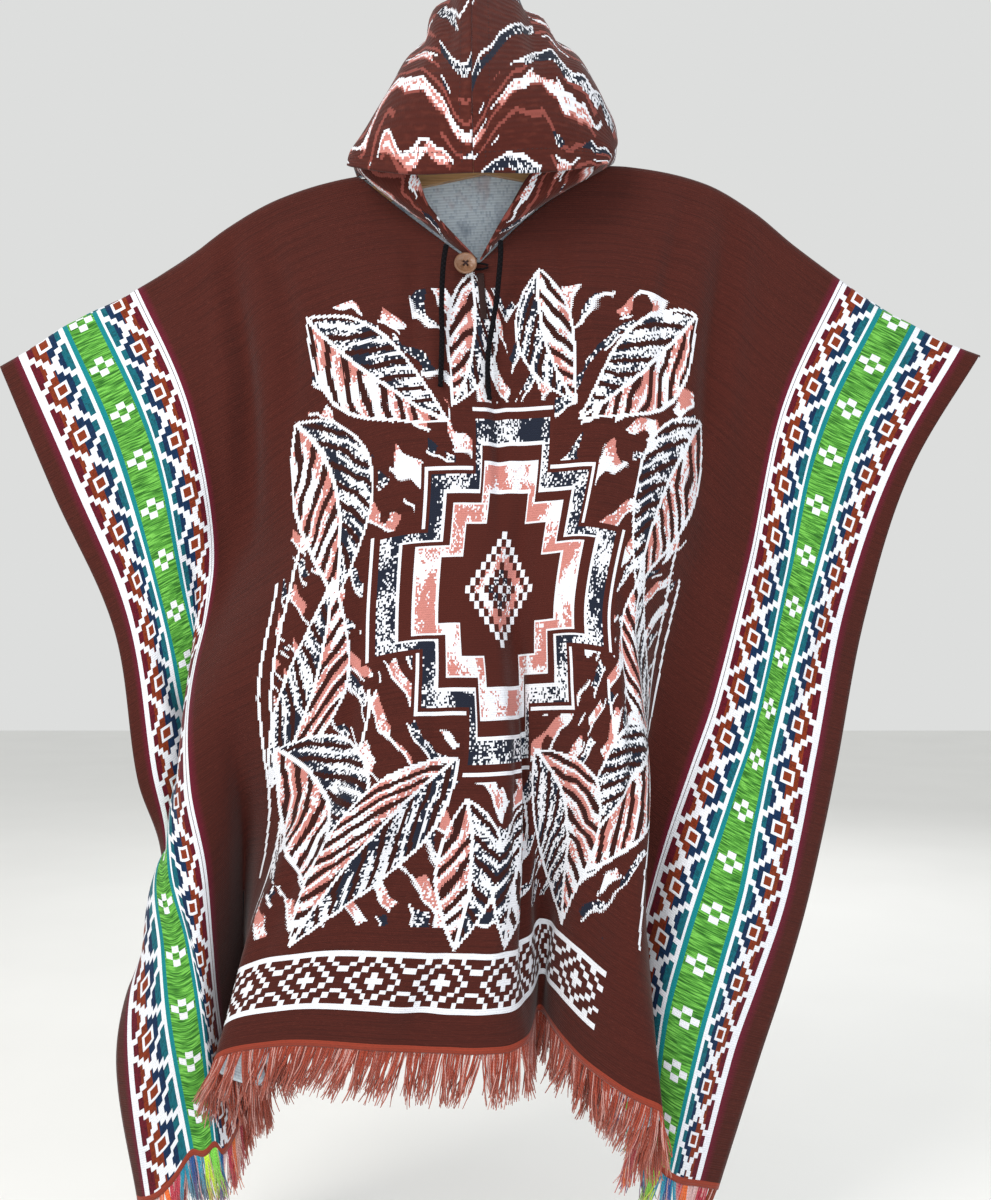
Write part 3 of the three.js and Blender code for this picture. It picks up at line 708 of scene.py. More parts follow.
class Dyes:
    """Colours laid over each other, last on top."""

    def __init__(self, tree: bpy.types.NodeTree, ground: str) -> None:
        """Starts from a ground colour."""
        self.tree = tree
        self.colour = linear(ground)

    def lay(self, colour: "str | Dyes", where: "Measure | float") -> "Dyes":
        """Lays a colour where the number is 1, and partly where it is between."""
        over = linear(colour) if isinstance(colour, str) else colour.colour
        made = add_node(self.tree, "ShaderNodeMix", {"data_type": "RGBA"},
                        {0: where.socket if isinstance(where, Measure) else where,
                         6: self.colour, 7: over})
        self.colour = made.outputs[2]
        return self


@dataclass(frozen=True)
class Surface:
    """What a finish needs besides its colours."""

    roughness: float = 0.9
    sheen: float = 0.0
    sheen_roughness: float = 0.5
    metallic: float = 0.0
    coat: float = 0.0
    specular: float = 0.3


class Finish:
    """Base of the finishes: a named material with its colour, gloss and relief."""

    name = "finish"
    surface = Surface()

    def __init__(self) -> None:
        """Makes the material."""
        self.material = bpy.data.materials.new(self.name)
        self.material.use_nodes = True
        self.tree = self.material.node_tree
        self.tree.nodes.clear()
        place = add_node(self.tree, "ShaderNodeAttribute", {"attribute_name": "weave"})
        split = add_node(self.tree, "ShaderNodeSeparateXYZ", None, {0: place.outputs["Vector"]})
        self.place = place.outputs["Vector"]
        self.cut, self.down, self.lot = (Measure(self.tree, split.outputs[k]) for k in range(3))
        shader = add_node(self.tree, "ShaderNodeBsdfPrincipled", None, {
            "Roughness": self.surface.roughness, "Metallic": self.surface.metallic,
            "Coat Weight": self.surface.coat, "Specular IOR Level": self.surface.specular,
            "Sheen Weight": self.surface.sheen, "Sheen Roughness": self.surface.sheen_roughness})
        self.tree.links.new(self.colours().colour, shader.inputs["Base Color"])
        height = self.height()
        if height is not None:
            depth, measure = height
            bump = add_node(self.tree, "ShaderNodeBump", None,
                            {"Strength": 0.6, "Distance": depth * MM, "Height": measure.socket})
            self.tree.links.new(bump.outputs["Normal"], shader.inputs["Normal"])
        add_node(self.tree, "ShaderNodeOutputMaterial", None, {"Surface": shader.outputs["BSDF"]})

    def colours(self) -> Dyes:
        """The colours of the finish."""
        raise NotImplementedError

    def height(self) -> Optional[tuple[float, Measure]]:
        """The depth of the fine relief in millimetres and its height from 0 to 1, or nothing."""
        return None

    def vector(self, x: "Measure | float", y: "Measure | float",
               z: "Measure | float" = 0.0) -> bpy.types.NodeSocket:
        """Three numbers as a vector."""
        parts = [p.socket if isinstance(p, Measure) else p for p in (x, y, z)]
        return add_node(self.tree, "ShaderNodeCombineXYZ", None, dict(enumerate(parts))).outputs[0]

    def cloud(self, x: "Measure | float", y: "Measure | float", size_x: float, size_y: float,
              detail: float = 2.0) -> Measure:
        """Soft random patches of the given size in millimetres, from 0 to 1."""
        x = x / size_x if isinstance(x, Measure) else x
        y = y / size_y if isinstance(y, Measure) else y
        made = add_node(self.tree, "ShaderNodeTexNoise", {"noise_dimensions": "2D"},
                        {"Vector": self.vector(x, y), "Scale": 1.0, "Detail": detail})
        return Measure(self.tree, made.outputs[0])

    def grain(self, scale: float | tuple[float, float, float], detail: float = 2.0) -> Measure:
        """Random patches through a hard material, as many to the metre as the scale gives."""
        spot = add_node(self.tree, "ShaderNodeNewGeometry").outputs["Position"]
        if isinstance(scale, tuple):
            spot = add_node(self.tree, "ShaderNodeMapping", None,
                            {"Vector": spot, "Scale": scale}).outputs[0]
            scale = 1.0
        made = add_node(self.tree, "ShaderNodeTexNoise", None,
                        {"Vector": spot, "Scale": scale, "Detail": detail})
        return Measure(self.tree, made.outputs[0])

    def speckle(self, size_x: float, size_y: float) -> Measure:
        """A random number for each cell of the given size in millimetres."""
        at = self.vector(self.cut.steps(size_x), self.down.steps(size_y))
        made = add_node(self.tree, "ShaderNodeTexWhiteNoise", {"noise_dimensions": "2D"}, {"Vector": at})
        return Measure(self.tree, made.outputs[0])

    def ribs(self, measure: Measure, pitch: float) -> Measure:
        """Rows of yarn, a pitch apart, from 0 to 1."""
        return (measure * (2 * math.pi / pitch)).work("SINE") * 0.5 + 0.5


class Leaf(NamedTuple):
    """A feathered leaf: its middle from the picture's own centre line, and its run."""

    aside: float
    down: float
    turn: float
    length: float
    width: float
    bend: float


class DoubleWeave(Finish):
    """Brushed acrylic double weave, jacquard figured: matt, with a little nap that lights its edges.

    The figure is a symmetrical stepped cross among feathered leaves. The side bands are stepped
    diamonds on white, with a green strip of small flowers between them.
    """

    name = "brushed acrylic double weave"
    surface = Surface(roughness=0.92, sheen=0.12, sheen_roughness=0.45, specular=0.18)

    # Colours of the yarns.
    ground = "#471B14"
    ground_dark = "#33120D"
    crimson = "#6B1030"
    white = "#E1E4EB"
    green, green_light, green_dark = "#4C9035", "#72BC50", "#2C6423"
    teal_line, teal, navy = "#0E7C82", "#10606E", "#0D2B4E"
    rust, maroon = "#7C3015", "#5E1020"
    salmon, slate = "#C07C74", "#1B2130"
    hem = "#8E3A29"

    # Sizes in millimetres. A cell stands for a few yarns, as coarse as shows from a step away.
    cell = 2.0
    yarn = 2.4
    step = 5.9
    margin = 7.8
    pitch = 55.0
    phase = 14.0
    outer_line, outer_strip, outer_teal = 534.0, 507.0, 480.0
    inner_teal, inner_strip, inner_line = 451.0, 425.0, 397.0
    strip_half = 25.5
    fade = 11.0

    # The figure, about its own centre line.
    centre = 12.0
    cross_down, cross_reach = 468.0, 190.0
    cross_arms = ((1.0, 0.34), (0.67, 0.67), (0.34, 1.0))
    leaves = (
        Leaf(70, 204, -18, 78, 38, -16),
        Leaf(172, 222, 46, 104, 44, 18),
        Leaf(254, 352, 12, 112, 46, -20),
        Leaf(268, 524, 160, 100, 42, 18),
        Leaf(236, 682, 30, 122, 50, -24),
        Leaf(128, 734, -30, 112, 52, 22),
        Leaf(40, 758, 10, 80, 36, -10),
    )
    frieze_top, frieze_cell, frieze_rows = 838.0, 5.6, 11

    def start(self) -> Dyes:
        """Finds the cell that each point is in, and gives the bare ground."""
        self.coarse_cut = self.cut.steps(self.cell) * self.cell + self.cell / 2
        self.coarse_down = self.down.steps(self.cell) * self.cell + self.cell / 2
        self.chance = self.speckle(self.cell, self.cell)
        return Dyes(self.tree, self.ground)

    def shaded(self, dyes: Dyes) -> Dyes:
        """Darkens the dips between the rows of yarn."""
        return dyes.lay("#150A09", self.ribs(self.down, self.yarn) * self.chance.ramp(-0.3, 1.6) * 0.26)

    def colours(self) -> Dyes:
        """The ground, then the figure, then the bands and the hem."""
        dyes = self.start()
        streaks = self.cloud(self.cut, self.down, 90.0, 2.6, 3.0)
        dyes.lay(self.ground_dark, streaks.ramp(0.42, 0.72) * 0.5)
        dyes.lay("#5C2A20", self.cloud(self.cut, self.down, 7.0, 1.6, 1.0).ramp(0.6, 0.86) * 0.45)
        self.add_figure(dyes)
        self.add_bands(dyes)
        dyes.lay(self.hem, self.down > LENGTH - HEM_STRIP)
        worn = self.cloud(self.cut, self.down, 140.0, 210.0)
        dyes.lay("#1A0D0A", worn.ramp(0.55, 0.95) * 0.16)
        return self.shaded(dyes)

    def jacquard(self, light: str, dark: str, share: "Measure | float") -> Dyes:
        """Two yarns mixed cell by cell, as a jacquard mixes them; share is that of the dark one."""
        return Dyes(self.tree, light).lay(dark, self.chance < share)

    def add_figure(self, dyes: Dyes) -> None:
        """The picture's place: leaves, a stepped cross and a frieze of stepped diamonds."""
        side = abs(self.coarse_cut - self.centre)
        down = self.coarse_down
        flow = (self.cloud(self.cut, self.down, 70.0, 70.0) - 0.5) * 26.0
        haze = self.cloud(self.cut, self.down, 30.0, 46.0, 3.0)
        pale = self.jacquard(self.salmon, self.white, haze.ramp(0.42, 0.62))
        cool = self.jacquard(self.slate, self.white, haze.ramp(0.34, 0.66) * 0.8)
        self.add_flow(dyes, side, down, flow, pale, cool)
        self.add_outlines(dyes, side, down, flow)
        for leaf in self.leaves:
            self.add_leaf(dyes, leaf, side, down, flow, pale, cool)
        self.add_cross(dyes, side, down, pale, cool)
        self.add_frieze(dyes, side, down)

    def add_flow(self, dyes: Dyes, side: Measure, down: Measure, flow: Measure,
                 pale: Dyes, cool: Dyes) -> None:
        """Wind-blown strokes behind the leaves, thin at their ends, within a barrel shape."""
        reach = (abs(down - 490.0) / 420.0)
        barrel = side < (reach * reach) * -110.0 + 300.0
        within = barrel * down.between(150.0, 812.0)
        lift = (side / 74.0 + down / 210.0).work("SINE") * 34.0
        wide = (down * 0.62 + side * 0.78 + lift + flow * 1.5).work("WRAP", 38.0, 0.0)
        body = self.cloud(self.coarse_cut, self.coarse_down, 58.0, 84.0, 1.0)
        dyes.lay(pale, within * (wide < 11.0) * body.between(0.49, 0.72))
        dyes.lay(cool, within * wide.between(17.0, 26.0) * body.between(0.30, 0.47))
        dyes.lay(self.white, within * wide.between(11.0, 13.6) * (body > 0.45))
        dyes.lay(self.white, within * wide.between(26.0, 28.6) * (body < 0.50))

    def add_outlines(self, dyes: Dyes, side: Measure, down: Measure, flow: Measure) -> None:
        """Long white lines that wander down both sides of the figure."""
        for reach, swing, wave, top, bottom in ((286, 16, 66, 330, 800), (304, 13, 66, 400, 720),
                                                 (44, 12, 40, 148, 260), (200, 18, 52, 560, 640)):
            line = abs(side - (down / wave).work("SINE") * swing - flow * 0.3 - float(reach)) < 1.9
            dyes.lay(self.white, line * down.between(top, bottom))

    def add_leaf(self, dyes: Dyes, leaf: Leaf, side: Measure, down: Measure, flow: Measure,
                 pale: Dyes, cool: Dyes) -> None:
        """One feathered leaf: a pale half and a grey half, cut by barbs, with a white outline."""
        turn = math.radians(leaf.turn)
        u, v = side - leaf.aside, down - leaf.down
        along = (u * math.sin(turn) - v * math.cos(turn)) / leaf.length
        ease = ((along * along) * -1.0 + 1.0).most(0.0)
        across = (u * math.cos(turn) + v * math.sin(turn)) - ease * leaf.bend + flow * 0.22
        reach = ease * leaf.width * (along * 0.28 + 1.0)
        far = abs(across)
        inside = far < reach
        barbs = (far * 0.9 + along * (leaf.length * 0.62) + flow).work("WRAP", 17.0, 0.0)
        dyes.lay(self.ground_dark, inside)
        dyes.lay(pale, inside * (barbs < 9.5) * (across > 0.0))
        dyes.lay(cool, inside * (barbs < 11.5) * (across < 0.0))
        dyes.lay(self.white, inside * barbs.between(5.0, 8.5) * (far > reach * 0.3))
        dyes.lay(self.white, inside * (far > reach - 3.8))
        dyes.lay(self.white, inside * (far < 2.1))

    def add_cross(self, dyes: Dyes, side: Measure, down: Measure, pale: Dyes, cool: Dyes) -> None:
        """A stepped cross in rings, with a stepped diamond in its heart."""
        high = abs(down - self.cross_down)
        tall, square, broad = ((side / a).most(high / b) for a, b in self.cross_arms)
        out = tall.least(square).least(broad)
        reach = self.cross_reach
        dyes.lay(self.ground, out < reach + 7.0)
        for colour, inner, outer in ((self.white, 4.2, 0.0), (cool, 36.0, 12.0),
                                     (self.white, 40.5, 36.0), (pale, 86.0, 56.0),
                                     (self.white, 60.0, 56.0), (self.white, 90.0, 86.0)):
            dyes.lay(colour, out.between(reach - inner, reach - outer))
        ring = (side + 4.0).steps(8.0) + (high + 4.0).steps(8.0)
        heart = out < reach - 94.0
        dyes.lay(self.white, heart * ring.between(6.5, 7.5))
        dyes.lay(pale, heart * ring.between(3.5, 5.5))
        dyes.lay(cool, heart * ring.between(1.5, 2.5))
        dyes.lay(self.white, heart * (ring < 0.5))

    def add_frieze(self, dyes: Dyes, side: Measure, down: Measure) -> None:
        """A row of ringed stepped diamonds between two lines, near the hem."""
        size, rows = self.frieze_cell, self.frieze_rows
        row = abs((down - self.frieze_top).steps(size) - (rows - 1) / 2)
        column = abs((side.work("WRAP", size * rows, 0.0)).steps(size) - (rows - 1) / 2)
        far = row + column
        inside = (row < rows / 2) * (side < 4 * size * rows)
        shown = far.between(3.5, 4.5).most(far < 1.5).most(far.between(6.5, 7.5)).most(row > rows / 2 - 1)
        dyes.lay(self.white, inside * shown)

    def add_bands(self, dyes: Dyes) -> None:
        """The side bands, from the inner crimson to the selvedge."""
        out = abs(self.cut)
        rise = (out.ramp(self.inner_line - self.fade, self.inner_line)
                * (out < self.inner_line + 1.0)).most(
                    out.work("MULTIPLY", -1.0).ramp(-self.outer_line - self.fade, -self.outer_line)
                    * (out > self.outer_line - 1.0))
        dyes.lay(self.crimson, rise * 0.9)
        dyes.lay(self.white, abs(out - self.outer_line) < 1.7)
        dyes.lay(self.white, abs(out - self.inner_line) < 1.7)
        along = (self.down + self.phase).repeat(self.pitch)
        self.add_strip(dyes, out - self.outer_strip, along)
        self.add_strip(dyes, out * -1.0 + self.inner_strip, along)
        self.add_green(dyes, out, along)

    def add_strip(self, dyes: Dyes, across: Measure, along: Measure) -> None:
        """A strip of stepped diamonds on white; across is positive away from the green."""
        inside = abs(across) < self.strip_half
        far, high = abs(across), abs(along)
        half = high.steps(self.step) * -self.step + 19.6
        diamond = (far < half) * (high < 23.7)
        pyramid = (far > half.most(0.0) + self.margin) * (far < 21.4)
        warp = Dyes(self.tree, self.rust)
        warp.lay(self.maroon, across > 13.0)
        warp.lay(self.navy, across < 0.0)
        warp.lay(self.teal, across < -14.0)
        warp.lay("#05060A", self.chance.ramp(0.3, 1.3) * 0.5)
        dyes.lay(self.white, inside)
        dyes.lay(warp, inside * diamond.most(pyramid))
        box = far.most(high)
        dyes.lay(self.white, box < 7.6)
        dyes.lay(self.rust, box < 4.6)

    def add_green(self, dyes: Dyes, out: Measure, along: Measure) -> None:
        """The green strip with teal edges and its small plus-shaped flowers."""
        middle = (self.inner_teal + self.outer_teal) / 2
        half = (self.outer_teal - self.inner_teal) / 2
        far, high = abs(out - middle), abs(along)
        flecks = self.cloud(self.cut, self.down, 15.0, 1.5, 1.0)
        green = Dyes(self.tree, self.green)
        green.lay(self.green_light, flecks.ramp(0.52, 0.66))
        green.lay(self.green_dark, flecks.work("MULTIPLY", -1.0).ramp(-0.46, -0.34))
        dyes.lay(green, far < half)
        petal = (far.most(high) < 10.4) * (far.least(high) < 3.5) * (far.most(high) > 3.5)
        dyes.lay(self.white, petal)
        dyes.lay(self.teal_line, far.between(half - 2.4, half + 2.2))

    def height(self) -> tuple[float, Measure]:
        """Rows of weft crossed by warp, with a slight rise and fall from yarn to yarn."""
        rows = self.ribs(self.down, self.yarn)
        ends = self.ribs(self.cut, self.yarn)
        return 0.55, rows * 0.55 + ends * rows * 0.2 + self.chance * 0.35


class HoodWeave(DoubleWeave):
    """The same double weave cut across the figure: long flowing strokes on the brown."""

    name = "brushed acrylic double weave, hood"
    cell = 1.1

    def add_figure(self, dyes: Dyes) -> None:
        """Long flowing strokes of salmon, white and grey, thin at their ends."""
        bend = (self.cloud(self.coarse_cut, self.coarse_down, 95.0, 170.0, 1.0) - 0.5) * 105.0
        fine = (self.cloud(self.coarse_cut, self.coarse_down, 26.0, 60.0, 1.0) - 0.5) * 15.0
        haze = self.cloud(self.cut, self.down, 36.0, 22.0, 3.0)
        body = self.cloud(self.coarse_cut + 40.0, self.coarse_down, 120.0, 40.0, 1.0)
        pale = self.jacquard(self.salmon, self.white, haze.ramp(0.44, 0.70))
        cool = self.jacquard(self.slate, self.white, haze.ramp(0.36, 0.66) * 0.75)
        run = self.coarse_down + bend + fine
        wide = run.work("WRAP", 23.0, 0.0)
        thin = run.work("WRAP", 11.0, 0.0)
        dyes.lay("#8E4A42", (thin < 2.6) * body.between(0.46, 0.66) * 0.8)
        dyes.lay(pale, (wide < 5.0) * body.between(0.52, 0.74))
        dyes.lay(cool, wide.between(11.0, 16.5) * body.between(0.26, 0.46))
        dyes.lay(self.white, wide.between(5.0, 6.6) * (body > 0.48))
        dyes.lay(self.white, wide.between(1.6, 3.0) * body.between(0.55, 0.66))
        dyes.lay(self.white, wide.between(16.5, 18.0) * (body < 0.46))

    def colours(self) -> Dyes:
        """As the body's, without bands or hem: the hood is cut from the middle of the cloth."""
        dyes = self.start()
        dyes.lay("#5E2A20", self.cloud(self.cut, self.down, 12.0, 2.2, 2.0).ramp(0.5, 0.8) * 0.6)
        self.add_figure(dyes)
        return self.shaded(dyes)


class ReverseWeave(Finish):
    """Reverse of the double weave: the pale yarns lie inside, with short floats of blue and pink."""

    name = "reverse of the double weave"
    surface = Surface(roughness=0.95, sheen=0.1, specular=0.15)
    yarn = 3.0

    def colours(self) -> Dyes:
        """Blue-white, speckled, with faint pink and blue where the face is figured, and painted shade
        along the rows of floats.
        """
        chance = self.speckle(2.0, 3.0)
        dyes = Dyes(self.tree, "#E4EFF7")
        dyes.lay("#BCCBD9", chance.ramp(0.55, 1.1))
        patches = self.cloud(self.cut, self.down, 40.0, 50.0, 3.0)
        dyes.lay("#B98C90", patches.ramp(0.58, 0.72) * 0.4)
        dyes.lay("#5F7391", patches.work("MULTIPLY", -1.0).ramp(-0.40, -0.28) * 0.45)
        # painted shade along the rows of floats
        return dyes.lay("#5B6774", self.ribs(self.down, self.yarn) * 0.22)

    def height(self) -> tuple[float, Measure]:
        """Coarse floats."""
        return 0.6, self.ribs(self.down, self.yarn) * 0.6 + self.speckle(2.0, 3.0) * 0.4


class FringeYarn(Finish):
    """Loose twisted acrylic warp ends: brick red with pale ends among them, and the bands' dyes."""

    name = "twisted acrylic warp ends"
    surface = Surface(roughness=0.85, sheen=0.15, specular=0.2)
    bands = ((560, "#8A3A22"), (548, "#C23A50"), (530, "#E9C4C4"), (519, "#F0783C"), (507, "#C23A50"),
             (498, "#1D9AB8"), (488, "#1F5A9A"), (478, "#1D9AB8"), (472, "#C6F23A"), (456, "#7DDB4F"),
             (450, "#1D9AB8"), (440, "#1F5A9A"), (430, "#E9C4C4"), (420, "#C23A50"), (410, "#F0783C"),
             (399, "#E0B0A8"), (392, "#B23848"))

    def colours(self) -> Dyes:
        """Each strand has the dye of its warp; one in five is pale, and tips are lighter; painted shade
        darkens the twist.
        """
        out = abs(self.lot.steps(1.0))
        chance = Measure(self.tree, add_node(self.tree, "ShaderNodeTexWhiteNoise",
                                             {"noise_dimensions": "1D"},
                                             {"W": self.lot.socket}).outputs[0])
        dyes = Dyes(self.tree, "#AB4832").lay("#8A3625", chance.ramp(0.3, 0.62))
        for edge, dye in reversed(self.bands):
            dyes.lay(dye, out > float(edge) - 12.0)
        dyes.lay("#E0B0A8", (chance > 0.80) * 0.85)
        dyes.lay("#D98A78", self.down.ramp(14.0, 60.0) * 0.45)
        # painted shade along the twist between the plies
        return dyes.lay("#3A100A", self.twist() * 0.35)

    def twist(self) -> Measure:
        """Two plies wound round each other."""
        return self.ribs(self.down + self.cut * 0.9, 3.2)

    def height(self) -> tuple[float, Measure]:
        """The twist of the yarn."""
        return 0.3, self.twist()


class BraidedCord(Finish):
    """Braided black polyester: dull, with a faint painted glint on each plait."""

    name = "braided black polyester cord"
    surface = Surface(roughness=0.85, specular=0.1)

    slant, pitch = 2.2, 4.6

    def plaits(self) -> Measure:
        """Plaits that cross as they wind both ways round the cord."""
        aside = self.cut * self.slant
        return self.ribs(self.down + aside, self.pitch) * self.ribs(self.down - aside, self.pitch)

    def colours(self) -> Dyes:
        """Near black, with a painted glint: a little lighter on the crests of the plaits."""
        return Dyes(self.tree, "#070608").lay("#17151A", self.plaits())

    def height(self) -> tuple[float, Measure]:
        """Crossed plaits."""
        return 0.4, self.plaits()


class SewingThread(Finish):
    """Spun polyester thread, doubled: matt, with its twist drawn coarse enough to show as a painted
    highlight on its crests.
    """

    name = "spun polyester thread"
    surface = Surface(roughness=0.7, specular=0.3)
    # the second colour is a painted highlight on the crests of the twist
    dye, light = "#1D1215", "#40292A"

    def colours(self) -> Dyes:
        """Dark, with a painted highlight: lighter on the crests of the twist."""
        return Dyes(self.tree, self.dye).lay(self.light, self.ribs(self.down + self.cut * 0.3, 1.1))


class PlacketTwill(Finish):
    """Cotton twill tape, dyed near black: fine slanting ribs."""

    name = "cotton twill tape"
    surface = Surface(roughness=0.85, sheen=0.05, specular=0.25)

    def colours(self) -> Dyes:
        """Near-black brown, with a painted highlight on the crests of the slanting ribs."""
        return Dyes(self.tree, "#1C0D0C").lay("#3A211D", self.ribs(self.down + self.cut, 1.8) * 0.7)

    def height(self) -> tuple[float, Measure]:
        """The twill's ribs."""
        return 0.3, self.ribs(self.down + self.cut, 1.8)


class CoconutShell(Finish):
    """Turned and waxed coconut shell: streaked tan, satin, lighter towards the rim."""

    name = "turned coconut shell"
    surface = Surface(roughness=0.38, coat=0.15, specular=0.5)

    def colours(self) -> Dyes:
        """Tan with short dark streaks; weave.x runs outwards and weave.y round."""
        streak = self.cloud(self.down, self.lot, 3.2, 0.7, 4.0)
        dyes = Dyes(self.tree, "#7E5A42").lay("#4A3020", streak.ramp(0.5, 0.75))
        dyes.lay("#C7A88A", streak.work("MULTIPLY", -1.0).ramp(-0.42, -0.25) * 0.6)
        # lighter towards the rim
        return dyes.lay("#C9A98B", self.cut.ramp(8.6, 11.4) * 0.75)

    def height(self) -> tuple[float, Measure]:
        """Faint turning marks."""
        return 0.08, self.ribs(self.cut, 0.9)


class Beech(Finish):
    """Varnished beech, sawn flat: fine flecks along the grain under a satin coat."""

    name = "varnished beech"
    surface = Surface(roughness=0.4, coat=0.3, specular=0.5)

    def colours(self) -> Dyes:
        """Straw brown with darker grain along the bar."""
        lines = self.grain((18.0, 260.0, 420.0), 4.0)
        return Dyes(self.tree, "#C99A66").lay("#8A5C32", lines.ramp(0.46, 0.72))


class DrawnSteel(Finish):
    """Drawn steel wire, zinc plated: fine scratches along the wire."""

    name = "zinc-plated steel wire"
    surface = Surface(roughness=0.32, metallic=1.0, specular=0.5)

    def colours(self) -> Dyes:
        """Grey, slightly clouded."""
        return Dyes(self.tree, "#B9BCC0").lay("#8F9398", self.grain(900.0))


class PalePaint(Finish):
    """Matt white paint on the floor."""

    name = "matt white paint"
    surface = Surface(roughness=0.9, specular=0.2)

    def colours(self) -> Dyes:
        """Off white, very faintly clouded."""
        return Dyes(self.tree, "#EDEDEB").lay("#E6E6E4", self.grain(3.0))


# ---- Pieces ------------------------------------------------------------------------------------


@dataclass
class Body:
    """One half of the body with its fringe."""

    half: Half
    columns: int
    rows: int
    strands: int = 1050
    strand_reach: float = 50.0
    strand_radius: float = 0.75
    clump: float = 12.0
    calm_top: float = 30.0
    calm_side: float = 20.0
    button_place: tuple[float, float] = (-34.0, 138.0)
    button_calm: tuple[float, float] = (34.0, 44.0)
    neck_calm: float = 36.0
    cloth: HangingCloth = field(init=False)

    def __post_init__(self) -> None:
        """Hangs the cloth."""
        self.cloth = HangingCloth(self.half)

    def sheet_points(self, cut: np.ndarray, down: np.ndarray) -> tuple[np.ndarray, np.ndarray]:
        """The creased cloth and its outward directions.

        Args:
            cut: places across the width.
            down: for each of them, a row of distances down.

        Returns:
            Points and directions, cut by down by three.
        """
        side = self.half.value
        flat = self.cloth.points(cut, down)
        normals = directions(flat, side)
        outside = (cut <= NECK.left) | (cut >= NECK.right)
        normals[outside, 0, 1] = 0.0
        normals /= np.linalg.norm(normals, axis=2, keepdims=True)
        across = np.repeat(cut[:, None], down.shape[1], axis=1)
        creases = FRONT_CREASES if self.half is Half.FRONT else BACK_CREASES
        amount = relief(creases, across, down) + unevenness(across, down)
        calm = np.clip(down / self.calm_top, 0.0, 1.0) * np.clip(
            (HALF_WIDTH - np.abs(across)) / self.calm_side + 0.25, 0, 1)
        button = np.hypot((across - self.button_place[0]) / self.button_calm[0],
                          (down - self.button_place[1]) / self.button_calm[1])
        amount *= calm * np.clip(button - 0.7, 0.0, 1.0) * self.near_neck(across, down)
        creased = flat + normals * amount[..., None]
        turned = directions(creased, side)
        turned[outside, 0] = normals[outside, 0]
        return creased, turned

    def near_neck(self, across: np.ndarray, down: np.ndarray) -> np.ndarray:
        """0 on the neck's seam, where the cloth is held, rising to 1 some way from it."""
        gap = down - NECK.cut_away(across, self.half)
        over = (across > NECK.left - 20) & (across < NECK.right + 20)
        return np.where(over, np.clip(gap / self.neck_calm, 0.0, 1.0), 1.0)

    def places(self) -> tuple[np.ndarray, np.ndarray]:
        """The grid's places across, and down for each of them."""
        cut = np.linspace(-HALF_WIDTH, HALF_WIDTH, self.columns + 1)
        cut = np.unique(np.concatenate([cut, [NECK.left, NECK.point, NECK.right]]))
        top = np.maximum(0.05, NECK.cut_away(cut, self.half))
        share = np.linspace(0.0, 1.0, self.rows + 1) ** 1.12
        return cut, top[:, None] + (LENGTH - top)[:, None] * share[None, :]

    def build(self, face: Finish, reverse: Finish, yarn: Finish) -> None:
        name = self.half.name.lower()
        cut, down = self.places()
        grid, normals = self.sheet_points(cut, down)
        place = np.dstack([np.repeat(cut[:, None], down.shape[1], axis=1), down])
        sheet = make_cloth(f"poncho_{name}", grid, place, normals, self.half.value,
                           [face.material, reverse.material, face.material])
        fringe = self.build_fringe(name, yarn)
        declare(sheet, f"body_{name}")
        declare(fringe, f"fringe_{name}")
        neck = np.trapz(NECK.cut_away(cut, self.half), cut) * MM * MM
        LOG.info("body %s: %d faces, with %d strands", name, len(sheet.data.polygons), self.strands)

    def build_fringe(self, name: str, yarn: Finish) -> bpy.types.Object:
        """Loose warp ends in small clumps, each strand with its own length, lean and curl."""
        rng = np.random.default_rng(SEED + self.half.value)
        count = self.strands * 2
        cut = np.sort(rng.uniform(-HALF_WIDTH + 1, HALF_WIDTH - 1, count))
        starts, out = self.sheet_points(cut, np.repeat([[LENGTH - 8.0, LENGTH - 0.2]], count, axis=0))
        fall = starts[:, 1] - starts[:, 0]
        fall /= np.linalg.norm(fall, axis=1, keepdims=True)
        fall = fall * 0.8 + np.array([0.0, 0.0, -0.2])
        fall /= np.linalg.norm(fall, axis=1, keepdims=True)
        out = out[:, 1]
        aside = np.cross(fall, out)
        group = np.floor((cut + 4.0 * np.sin(cut / 19.0)) / self.clump).astype(int)
        group -= group.min()
        middle = (np.bincount(group, cut) / np.maximum(1, np.bincount(group)))[group]
        lean = rng.normal(0.0, 0.16, group.max() + 1)[group] + rng.normal(0.0, 0.07, count)
        gather = (middle - cut) * rng.uniform(0.0, 0.55, count)
        reach = self.strand_reach * rng.uniform(0.72, 1.12, count)
        swing = rng.normal(0.0, 2.6, count)
        phase = rng.uniform(0, 2 * math.pi, count)
        steps = np.linspace(0.0, 1.0, 7)
        sign = np.where(np.einsum("ij,ij->i", aside, np.tile([1.0, 0.0, 0.0], (count, 1))) > 0, 1, -1)
        aside *= sign[:, None]
        s = steps[None, :, None]
        sideways = (gather[:, None, None] * np.sin(s * math.pi * 0.62)
                    + reach[:, None, None] * lean[:, None, None] * s ** 1.4
                    + 1.3 * np.sin(7.0 * s + phase[:, None, None]) * s)
        depth = rng.uniform(-0.55, 0.55, count)[:, None, None] + swing[:, None, None] * s ** 1.6
        paths = (starts[:, 1][:, None, :] + fall[:, None, :] * reach[:, None, None] * s
                 + aside[:, None, :] * sideways + out[:, None, :] * depth)
        thin = 1.0 - 0.45 * steps[None, :] ** 3
        radii = self.strand_radius * rng.uniform(0.7, 1.15, count)[:, None] * thin
        return make_yarns(f"fringe_ends_{name}", paths, radii, 4, (0.0, 1.0, 0.0), yarn.material, cut)


